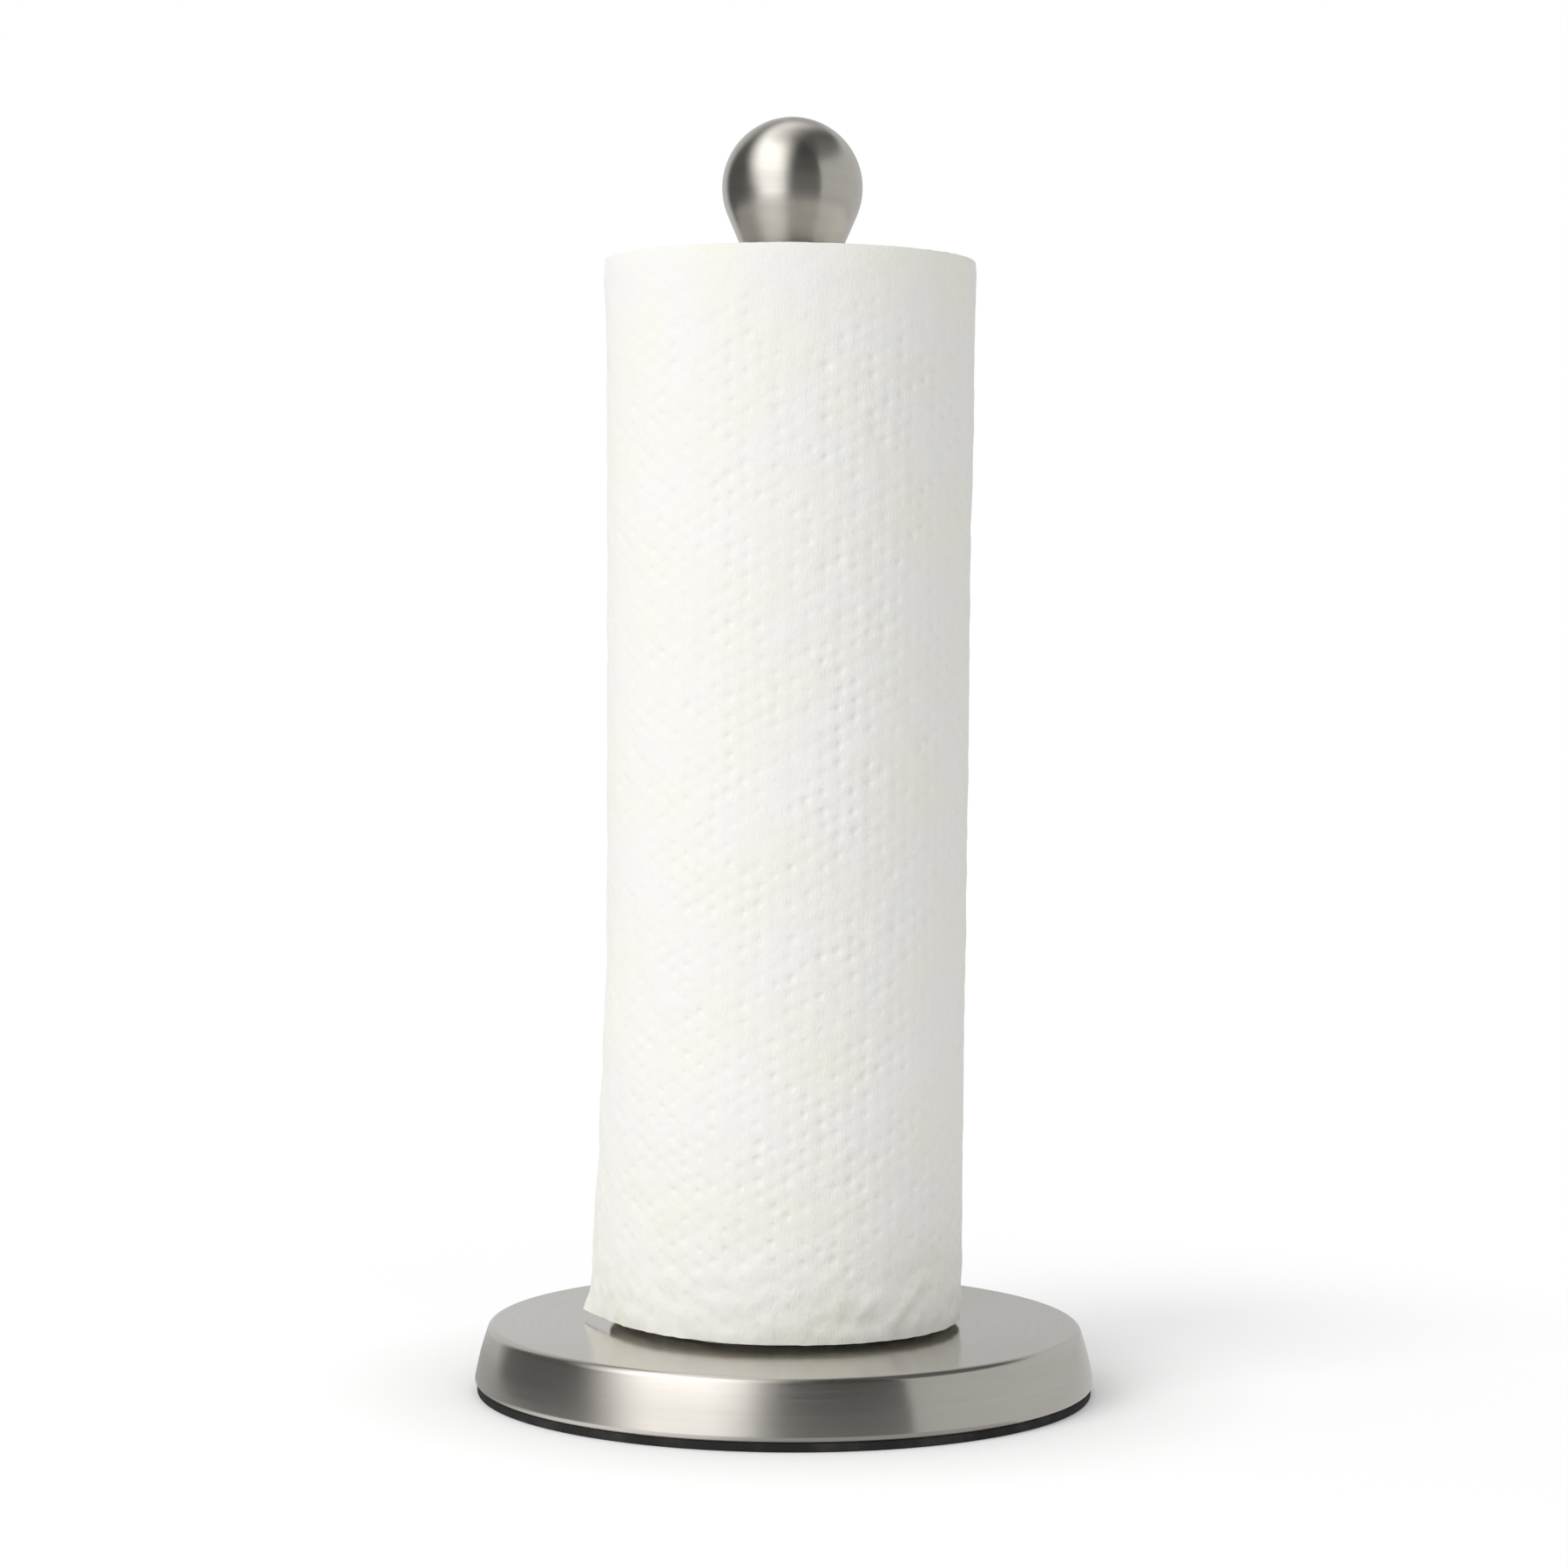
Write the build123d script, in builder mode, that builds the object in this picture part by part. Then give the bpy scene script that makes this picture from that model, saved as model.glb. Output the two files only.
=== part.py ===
from build123d import *

import os
from math import ceil, cos, degrees, radians, sin, tan

# Countertop paper towel holder: a weighted round base, an upright post with a drop-shaped finial, and the
# paper roll that turns round the post and lifts off over the finial. Millimetres, +Z up. The origin is the
# centre of the base's underside, and the post stands on the Z axis.

os.makedirs("parts", exist_ok=True)

# Whole holder
overall_height = 336.6

# Base: a pressed steel cover over a cast weight, on a soft pad
base_diameter = 164.7  # to the rim's outer corner, before it is bent round
base_height = 18.0
wall_lean = 4.0  # how far the cover's wall leans in from its rim to its top
wall_bulge = 0.35
shoulder_radius = 2.2
cover_wall = 0.8
lip_width = 4.0  # lip turned in under the weight's edge at the cover's lower rim
rim_bend = 1.4
pad_thickness = 2.3
pad_inset = 0.9
pad_edge = 0.4
weight_thickness = 8.5
weight_clearance = 1.5  # between the weight and the lip that it passes on the way in
weight_edge = 1.5
hub_diameter = 48.0
hub_corner = 3.0

# Post and the bolt that holds it to the base
post_diameter = 19.0
post_wall = 1.2
foot_insert_length = 26.0
head_insert_length = 18.0
insert_edge = 0.6
bolt_diameter = 8.0
bolt_grip = 18.0  # length of thread in the post
bolt_point = 1.0
head_flats = 13.0
head_height = 5.3
washer_diameter = 16.0
washer_thickness = 1.6
lock_washer_diameter = 14.8
lock_washer_thickness = 2.0
lock_washer_split = 1.4
recess_clearance = 1.0
bolt_hole_clearance = 0.3
thread_clearance = 0.05
press_clearance = 0.05

# Finial: a hollow drop, a ball running into a cone and a slim neck
ball_diameter = 37.0
cone_angle = 23.3  # between the cone's side and the post's axis, in degrees
neck_blend = 40.0
neck_length = 8.0
finial_wall = 1.2
plug_length = 14.0
stud_diameter = 6.0
stud_length = 26.0
stud_point = 0.8
stud_pocket = 2.0  # free bore past the stud's end

# Paper roll
sheet_width = 279.4
sheet_length = 279.4  # from one perforation to the next
sheet_thickness = 0.55
ply_gap = 0.05
roll_diameter = 96.0
telescope = 1.5  # how far the outer turns stand above the inner ones
core_diameter = 43.0
core_wall = 0.9
core_clearance = 0.3

# Loose end of the outer sheet
tail_length = 27.0
tail_leaves_at = 203.0  # where the sheet leaves the roll, in degrees about Z from +X
tail_flare_height = 110.0
tail_curl = 0.60  # share of its curve that the tail has lost towards the bottom
tail_curl_power = 1.6
tail_flick = 0.20  # further share lost close to the bottom corner
tail_flick_power = 8
tail_sections = 7

# Values that follow from the sizes above
base_radius = base_diameter / 2
corner_radius = base_radius - wall_lean
cover_underside = base_height - cover_wall
lip_opening = base_radius - lip_width
pad_radius = base_radius - pad_inset
weight_radius = lip_opening - weight_clearance
weight_top = pad_thickness + weight_thickness
hub_radius = hub_diameter / 2
post_radius = post_diameter / 2
post_bore = post_radius - post_wall
bolt_radius = bolt_diameter / 2
bolt_hole = bolt_radius + bolt_hole_clearance
bolt_thread = bolt_radius + thread_clearance
recess_radius = max(washer_diameter, head_flats / cos(radians(30))) / 2 + recess_clearance
recess_depth = head_height + lock_washer_thickness + washer_thickness
washer_seat = pad_thickness + recess_depth
stud_radius = stud_diameter / 2
stud_thread = stud_radius + thread_clearance

ball_radius = ball_diameter / 2
ball_height = overall_height - ball_radius
cone = radians(cone_angle)
cone_top = (ball_radius * cos(cone), ball_height - ball_radius * sin(cone))
cone_reach = (cone_top[0] - post_radius) / sin(cone)
blend_reach = neck_blend * tan(cone / 2)
blend_top = (
    cone_top[0] - (cone_reach - blend_reach) * sin(cone),
    cone_top[1] - (cone_reach - blend_reach) * cos(cone),
)
blend_foot = cone_top[1] - cone_reach * cos(cone) - blend_reach
finial_foot = blend_foot - neck_length
post_length = finial_foot - base_height

core_radius = core_diameter / 2
core_bore = core_radius - core_wall
roll_bore = core_radius + core_clearance
turn_pitch = sheet_thickness + ply_gap
half_pitch = turn_pitch / 2
wound_radius = roll_diameter / 2 - turn_pitch
roll_foot = base_height + core_clearance
sheet_foot = roll_foot + telescope
sheet_top = sheet_foot + sheet_width
wound_top = sheet_top - telescope  # at the bore
wrap_angle = degrees((sheet_length - tail_length) / (wound_radius + turn_pitch))
seam_angle = tail_leaves_at + wrap_angle
last_half_turn = int(wrap_angle // 180)


def spiral(start_radius: float, angle: float) -> list:
    """Draws a spiral clockwise from the seam, as half circles that each grow by half the turns' pitch."""
    arcs = []
    for half_turn in range(ceil(angle / 180)):
        start = seam_angle - 180 * half_turn
        sweep = min(180, angle - 180 * half_turn)
        radius = start_radius + half_turn * half_pitch
        arcs.append(CenterArc(spiral_centre(half_turn), radius, start, -sweep))
    return arcs


def spiral_centre(half_turn: int) -> Vector:
    """Centre of a half turn: the roll's axis, or half a pitch along the seam for every second one."""
    along_seam = half_pitch if half_turn % 2 else 0
    return Vector(along_seam, 0).rotate(Axis.Z, seam_angle)


def tail_section(height: float) -> Sketch:
    """Section of the sheet's loose end: tight on the roll higher up, and opened out at the bottom."""
    share = max(0, 1 - (height - sheet_foot) / tail_flare_height)
    flare = tail_curl * share**tail_curl_power + tail_flick * share**tail_flick_power
    tight = wound_radius + ply_gap + last_half_turn * half_pitch
    radius = tight / (1 - flare)
    outward = Vector(1, 0).rotate(Axis.Z, tail_leaves_at)
    centre = spiral_centre(last_half_turn) + outward * (tight - radius)
    sweep = degrees(tail_length / (radius + sheet_thickness))
    with BuildSketch(Plane.XY.offset(height)) as section:
        with BuildLine():
            inner = CenterArc(centre, radius, tail_leaves_at, -sweep)
            outer = CenterArc(centre, radius + sheet_thickness, tail_leaves_at, -sweep)
            Line(inner @ 0, outer @ 0)
            Line(inner @ 1, outer @ 1)
        make_face()
    return section.sketch


# Base cover: flat top, rounded shoulder, leaning wall and a lip turned in at the rim
with BuildPart() as base_cover:
    with BuildSketch(Plane.XZ):
        with BuildLine() as cover_section:
            top = Line((bolt_hole, base_height), (corner_radius, base_height))
            wall = SagittaArc(top @ 1, (base_radius, pad_thickness), wall_bulge)
            Line(wall @ 1, (lip_opening, pad_thickness))
            outer_corners = cover_section.vertices().sort_by(Axis.X)[-2:].sort_by(Axis.Y)
            fillet(outer_corners[1], shoulder_radius)
            fillet(outer_corners[0], rim_bend)
            offset(amount=cover_wall, side=Side.RIGHT)
        make_face()
    revolve(axis=Axis.Z)
base_cover.part.label = "base_cover"

# Base weight: a cast disc whose hub carries the post's clamping load, recessed below for the bolt's head
with BuildPart() as base_weight:
    with BuildSketch(Plane.XZ) as weight_section:
        with BuildLine():
            Polyline(
                (0, pad_thickness),
                (weight_radius, pad_thickness),
                (weight_radius, weight_top),
                (hub_radius, weight_top),
                (hub_radius, cover_underside),
                (0, cover_underside),
                close=True,
            )
        make_face()
        chamfer(weight_section.vertices().group_by(Axis.X)[2].sort_by(Axis.Y)[-1], weight_edge)
        fillet(weight_section.vertices().group_by(Axis.X)[1].sort_by(Axis.Y)[0], hub_corner)
    revolve(axis=Axis.Z)
    with Locations(Location((0, 0, pad_thickness), (180, 0, 0))):
        CounterBoreHole(bolt_hole, recess_radius, recess_depth)
base_weight.part.label = "base_weight"

# Base pad: the soft dark disc that the cover's lip and the weight stand on
with BuildPart() as base_pad:
    with BuildSketch():
        Circle(pad_radius)
    extrude(amount=pad_thickness)
    chamfer(base_pad.edges(), pad_edge)
base_pad.part.label = "base_pad"

# Post bolt, up through the weight and the cover into the post
with BuildPart() as post_bolt:
    with BuildSketch(Plane.XY.offset(pad_thickness)):
        RegularPolygon(head_flats / 2, 6, major_radius=False)
    extrude(amount=head_height)
    with BuildSketch(Plane.XY.offset(pad_thickness)):
        Circle(bolt_radius)
    extrude(amount=base_height + bolt_grip - pad_thickness)
    chamfer(post_bolt.edges().filter_by(GeomType.CIRCLE).sort_by(Axis.Z)[-1], bolt_point)
post_bolt.part.label = "post_bolt"

# Lock washer on the bolt's head: a ring with one slanted split
with BuildPart() as lock_washer:
    with BuildSketch(Plane.XY.offset(pad_thickness + head_height)):
        Circle(lock_washer_diameter / 2)
        Circle(bolt_hole, mode=Mode.SUBTRACT)
        with Locations((lock_washer_diameter / 2, 0)):
            Rectangle(lock_washer_diameter, lock_washer_split, rotation=20, mode=Mode.SUBTRACT)
    extrude(amount=lock_washer_thickness)
lock_washer.part.label = "lock_washer"

# Flat washer between the lock washer and the weight
with BuildPart() as flat_washer:
    with BuildSketch(Plane.XY.offset(washer_seat - washer_thickness)):
        Circle(washer_diameter / 2)
        Circle(bolt_hole, mode=Mode.SUBTRACT)
    extrude(amount=washer_thickness)
flat_washer.part.label = "flat_washer"

# Post tube, standing on the cover
with BuildPart() as post_tube:
    with BuildSketch(Plane.XY.offset(base_height)):
        Circle(post_radius)
        Circle(post_bore, mode=Mode.SUBTRACT)
    extrude(amount=post_length)
post_tube.part.label = "post_tube"

# Threaded insert pressed into the post's foot, which takes the post bolt
with BuildPart() as foot_insert:
    with BuildSketch(Plane.XY.offset(base_height)):
        Circle(post_bore - press_clearance)
        Circle(bolt_thread, mode=Mode.SUBTRACT)
    extrude(amount=foot_insert_length)
    insert_rims = foot_insert.edges().filter_by(GeomType.CIRCLE).group_by(SortBy.RADIUS)[-1]
    chamfer(insert_rims, insert_edge)
foot_insert.part.label = "foot_insert"

# Threaded insert pressed into the post's head, which takes the finial's stud
with BuildPart() as head_insert:
    with BuildSketch(Plane.XY.offset(finial_foot - head_insert_length)):
        Circle(post_bore - press_clearance)
        Circle(stud_thread, mode=Mode.SUBTRACT)
    extrude(amount=head_insert_length)
    insert_rims = head_insert.edges().filter_by(GeomType.CIRCLE).group_by(SortBy.RADIUS)[-1]
    chamfer(insert_rims, insert_edge)
head_insert.part.label = "head_insert"

# Finial: a hollow drop, open at the neck
with BuildPart() as finial:
    with BuildSketch(Plane.XZ):
        with BuildLine():
            dome = CenterArc((0, ball_height), ball_radius, 90, -90 - cone_angle)
            side = Line(dome @ 1, blend_top)
            blend = TangentArc(side @ 1, (post_radius, blend_foot), tangent=side % 1)
            Polyline(blend @ 1, (post_radius, finial_foot), (0, finial_foot), dome @ 0)
        make_face()
    revolve(axis=Axis.Z)
    neck_end = finial.faces().sort_by(Axis.Z)[0]
    offset(amount=-finial_wall, openings=neck_end)
finial.part.label = "finial"

# Plug pressed into the finial's neck, with a blind threaded bore for the stud
with BuildPart() as finial_plug:
    with BuildSketch(Plane.XY.offset(finial_foot)):
        Circle(post_radius - finial_wall - press_clearance)
    extrude(amount=plug_length)
    chamfer(finial_plug.edges().filter_by(GeomType.CIRCLE), insert_edge)
    with Locations(Location((0, 0, finial_foot), (180, 0, 0))):
        Hole(stud_thread, stud_length / 2 - stud_pocket)
finial_plug.part.label = "finial_plug"

# Stud that joins the finial to the post
with BuildPart() as finial_stud:
    stud_top = finial_foot + stud_length / 2 - stud_pocket
    with BuildSketch(Plane.XY.offset(stud_top - stud_length)):
        Circle(stud_radius)
    extrude(amount=stud_length)
    chamfer(finial_stud.edges().filter_by(GeomType.CIRCLE), stud_point)
finial_stud.part.label = "finial_stud"

# Roll core: the cardboard tube, standing on the base round the post
with BuildPart() as roll_core:
    with BuildSketch(Plane.XY.offset(base_height)):
        Circle(core_radius)
        Circle(core_bore, mode=Mode.SUBTRACT)
    extrude(amount=sheet_width)
roll_core.part.label = "roll_core"

# Wound paper: the turns under the outer sheet, with the spiral's step at the seam and telescoped ends
with BuildPart() as wound_paper:
    with BuildSketch(Plane.XY.offset(roll_foot)):
        with BuildLine():
            turns = spiral(wound_radius, 360)
            Line(turns[-1] @ 1, turns[0] @ 0)
        make_face()
        Circle(roll_bore, mode=Mode.SUBTRACT)
    extrude(amount=sheet_width + telescope)
    rim_reach = wound_radius + turn_pitch
    with BuildSketch(Plane.XZ):
        Polygon((roll_bore, roll_foot), (rim_reach, roll_foot), (rim_reach, sheet_foot), align=None)
        Polygon((roll_bore, sheet_top), (roll_bore, wound_top), (rim_reach, sheet_top), align=None)
    revolve(axis=Axis.Z, mode=Mode.SUBTRACT)
wound_paper.part.label = "wound_paper"

# Outer sheet: the last sheet of the roll, from its perforation round to the loose end
with BuildPart() as outer_sheet:
    with BuildSketch(Plane.XY.offset(sheet_foot)):
        with BuildLine():
            inner_turn = spiral(wound_radius + ply_gap, wrap_angle)
            outer_turn = spiral(wound_radius + turn_pitch, wrap_angle)
            Line(inner_turn[0] @ 0, outer_turn[0] @ 0)
            Line(inner_turn[-1] @ 1, outer_turn[-1] @ 1)
        make_face()
    extrude(amount=sheet_width)
    flare_step = tail_flare_height / (tail_sections - 1)
    loft(sections=[tail_section(sheet_foot + step * flare_step) for step in range(tail_sections)])
    extrude(tail_section(sheet_foot + tail_flare_height), amount=sheet_width - tail_flare_height)
outer_sheet.part.label = "outer_sheet"

pieces = [
    base_cover,
    base_weight,
    base_pad,
    post_bolt,
    lock_washer,
    flat_washer,
    post_tube,
    foot_insert,
    head_insert,
    finial,
    finial_plug,
    finial_stud,
    roll_core,
    wound_paper,
    outer_sheet,
]
for piece in pieces:
    export_step(piece.part, f"parts/{piece.part.label}.step")
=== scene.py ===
"""Looks of a countertop paper towel holder with a loaded roll.

The satin steel base, post and drop-shaped finial, the board core and the embossed paper are modelled and
dressed here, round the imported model. Metres, +Z up along the post, -Y towards the viewer.
"""

from __future__ import annotations

import logging
import math
from dataclasses import dataclass, field
from enum import Enum
from itertools import pairwise
from typing import Any, Callable, Sequence

import bpy
import numpy as np
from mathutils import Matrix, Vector
from mathutils.geometry import delaunay_2d_cdt
from mathutils.kdtree import KDTree

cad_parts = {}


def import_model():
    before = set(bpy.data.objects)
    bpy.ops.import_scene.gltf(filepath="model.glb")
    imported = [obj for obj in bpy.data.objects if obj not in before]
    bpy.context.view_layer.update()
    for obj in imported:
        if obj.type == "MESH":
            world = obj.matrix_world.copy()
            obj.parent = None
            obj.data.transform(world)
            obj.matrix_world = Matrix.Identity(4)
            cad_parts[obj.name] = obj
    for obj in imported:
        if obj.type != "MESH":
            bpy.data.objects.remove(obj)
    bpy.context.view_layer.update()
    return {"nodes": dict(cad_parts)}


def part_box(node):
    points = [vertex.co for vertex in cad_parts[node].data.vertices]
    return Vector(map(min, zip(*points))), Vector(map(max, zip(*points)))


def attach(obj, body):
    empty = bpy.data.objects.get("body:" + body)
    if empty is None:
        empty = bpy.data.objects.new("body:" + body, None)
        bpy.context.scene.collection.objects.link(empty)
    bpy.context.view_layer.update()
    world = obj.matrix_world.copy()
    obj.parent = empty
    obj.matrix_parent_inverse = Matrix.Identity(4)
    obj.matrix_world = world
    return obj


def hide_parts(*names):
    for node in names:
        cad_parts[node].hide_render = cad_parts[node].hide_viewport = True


LOG = logging.getLogger("towel_holder")

TURN = 2 * math.pi
TURN_STEPS = 256
ARC_STEP = math.radians(4)
SEED_SIZE = 0.001
MERGE_DISTANCE = 1e-6
MERGE_NET = 1e-9
SMOOTH_UP_TO = math.radians(32)
PAPER_SMOOTH_UP_TO = math.radians(62)
STREWN = 0.3
LEVEL = (1, 1, 0)
SHEET_MAP = "sheet"
DENT_MARK = "dent"

Point = tuple[float, float]
Corner = tuple[float, float, float]
Colour = tuple[float, float, float]
Faces = list[list[int]]


class Body(Enum):
    """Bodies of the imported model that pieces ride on."""

    HOLDER = "holder"
    CORE = "roll_core"
    PAPER = "roll_paper"


class Slot(Enum):
    """Material slots, one named by each finish."""

    SATIN_STEEL = "satin_steel"
    CAST_WEIGHT = "cast_weight"
    SOFT_PAD = "soft_pad"
    PLATED_STEEL = "plated_steel"
    CORE_BOARD = "core_board"
    TOWEL_PAPER = "towel_paper"


def arithmetic(operation: str, swapped: bool = False) -> Callable[[Signal, Signal | float], Signal]:
    """Makes an arithmetic method for signals.

    Args:
        operation: What its Math node works out.
        swapped: Whether the other value comes first.

    Returns:
        The method.
    """

    def method(signal: Signal, other: Signal | float) -> Signal:
        """Adds the Math node."""
        return signal.graph.math(operation, *((other, signal) if swapped else (signal, other)))

    return method


class Signal:
    """One output socket. Arithmetic on it adds Math nodes to its graph."""

    __add__ = arithmetic("ADD")
    __radd__ = arithmetic("ADD", swapped=True)
    __sub__ = arithmetic("SUBTRACT")
    __mul__ = arithmetic("MULTIPLY")
    __rmul__ = arithmetic("MULTIPLY", swapped=True)
    __truediv__ = arithmetic("DIVIDE")

    def __init__(self, graph: Graph, socket: bpy.types.NodeSocket) -> None:
        """Wraps an output socket of a graph's node."""
        self.graph = graph
        self.socket = socket


class Graph:
    """A node tree that is written as expressions."""

    def __init__(self, tree: bpy.types.NodeTree) -> None:
        """Takes over a node tree and clears it."""
        self.tree = tree
        tree.nodes.clear()

    def node(
        self,
        kind: str,
        settings: dict[str, Any] | None = None,
        sockets: dict[str | int, Any] | None = None,
        output: str | int = 0,
    ) -> Signal:
        """Adds one node.

        Args:
            kind: Type of the node.
            settings: Its properties, set before its sockets.
            sockets: Values or links of its inputs, by name or number.
            output: Which output is handed back.

        Returns:
            That output.
        """
        made = self.tree.nodes.new(kind)
        for name, value in (settings or {}).items():
            setattr(made, name, value)
        for name, value in (sockets or {}).items():
            if isinstance(value, Signal):
                self.tree.links.new(value.socket, made.inputs[name])
            else:
                made.inputs[name].default_value = value
        return Signal(self, made.outputs[output] if made.outputs else None)

    def math(self, operation: str, *values: Signal | float) -> Signal:
        """Adds a Math node on one or more values."""
        return self.node("ShaderNodeMath", {"operation": operation}, dict(enumerate(values)))

    def vector(self, operation: str, *values: Any, output: int = 0) -> Signal:
        """Adds a Vector Math node."""
        return self.node("ShaderNodeVectorMath", {"operation": operation}, dict(enumerate(values)), output)

    def length(self, vector: Signal) -> Signal:
        """Length of a vector."""
        return self.vector("LENGTH", vector, output=1)

    def position(self) -> Signal:
        """Place on the piece in its object's own frame."""
        return self.node("ShaderNodeTexCoord", output="Object")

    def axis(self, vector: Signal, name: str) -> Signal:
        """One axis, X, Y or Z, of a vector."""
        return self.node("ShaderNodeSeparateXYZ", sockets={0: vector}, output=name)

    def turns(self, place: Signal) -> Signal:
        """Angle of a place about the post's axis, in turns."""
        return self.math("ARCTAN2", self.axis(place, "Y"), self.axis(place, "X")) / TURN

    def join(self, across: Any, along: Any, up: Any) -> Signal:
        """A vector from three values."""
        return self.node("ShaderNodeCombineXYZ", sockets={0: across, 1: along, 2: up})

    def grey(self, level: Signal) -> Signal:
        """A grey of that level."""
        return self.join(level, level, level)

    def span(self, share: Signal, low: float, high: float) -> Signal:
        """Runs straight from low, at a share of 0, to high, at 1."""
        return low + (high - low) * share

    def remap(self, value: Signal, low: float, high: float, to_low: float = 0, to_high: float = 1) -> Signal:
        """Eases a value from one range to another, held at the ends.

        Args:
            value: What is mapped.
            low: Where the easing starts.
            high: Where it ends.
            to_low: Result at and below low.
            to_high: Result at and above high.

        Returns:
            The eased value.
        """
        settings = {"interpolation_type": "SMOOTHSTEP"}
        sockets = {0: value, 1: low, 2: high, 3: to_low, 4: to_high}
        return self.node("ShaderNodeMapRange", settings, sockets)

    def noise(self, place: Signal, scale: float = 1, detail: float = 2, roughness: float = 0.5) -> Signal:
        """Noise between about 0 and 1 at a place."""
        sockets = {"Vector": place, "Scale": scale, "Detail": detail, "Roughness": roughness}
        return self.node("ShaderNodeTexNoise", sockets=sockets)

    def tint(self, share: Signal, low: Any, high: Any) -> Signal:
        """Mixes two colours, links or three numbers, from the first at a share of 0 to the second at 1."""
        ends = [end if isinstance(end, Signal) else (*end, 1.0) for end in (low, high)]
        return self.node("ShaderNodeMix", {"data_type": "RGBA"}, {0: share, 6: ends[0], 7: ends[1]}, 2)

    def bump(self, height: Signal, distance: float) -> Signal:
        """A normal that is tilted by a height field of that depth in metres."""
        return self.node("ShaderNodeBump", sockets={"Height": height, "Distance": distance})

    def principled(self, **sockets: Any) -> Signal:
        """Adds the main shader, with spaces in its socket names written as underscores."""
        spaced = {name.replace("_", " "): value for name, value in sockets.items()}
        return self.node("ShaderNodeBsdfPrincipled", sockets=spaced)

    def mix(self, share: Signal, first: Signal, second: Signal) -> Signal:
        """Mixes two shaders, from the first at a share of 0 to the second at 1."""
        return self.node("ShaderNodeMixShader", sockets={0: share, 1: first, 2: second})

    def by_ray(self, camera: Signal, mirror: Signal, rest: Signal) -> Signal:
        """Shows different shaders to different rays.

        Args:
            camera: What the camera sees.
            mirror: What the steel mirrors.
            rest: What lights or takes light from the rest.

        Returns:
            All three as one shader.
        """
        direct = self.node("ShaderNodeLightPath", output="Is Camera Ray")
        mirrored = self.node("ShaderNodeLightPath", output="Is Glossy Ray")
        return self.mix(direct, self.mix(mirrored, rest, mirror), camera)


@dataclass(frozen=True)
class Finish:
    """A surface finish, made as a material once and shared by the pieces that have it."""

    name: str
    slot: Slot

    def material(self) -> bpy.types.Material:
        """Makes the material, or finds it if it was made before.

        Returns:
            The material.
        """
        known = bpy.data.materials.get(self.name)
        if known:
            return known
        made = bpy.data.materials.new(self.name)
        made.use_nodes = True
        graph = Graph(made.node_tree)
        graph.node("ShaderNodeOutputMaterial", sockets={"Surface": self.shade(graph)})
        return made

    def shade(self, graph: Graph) -> Signal:
        """Draws the finish and hands back its shader."""
        raise NotImplementedError


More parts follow.
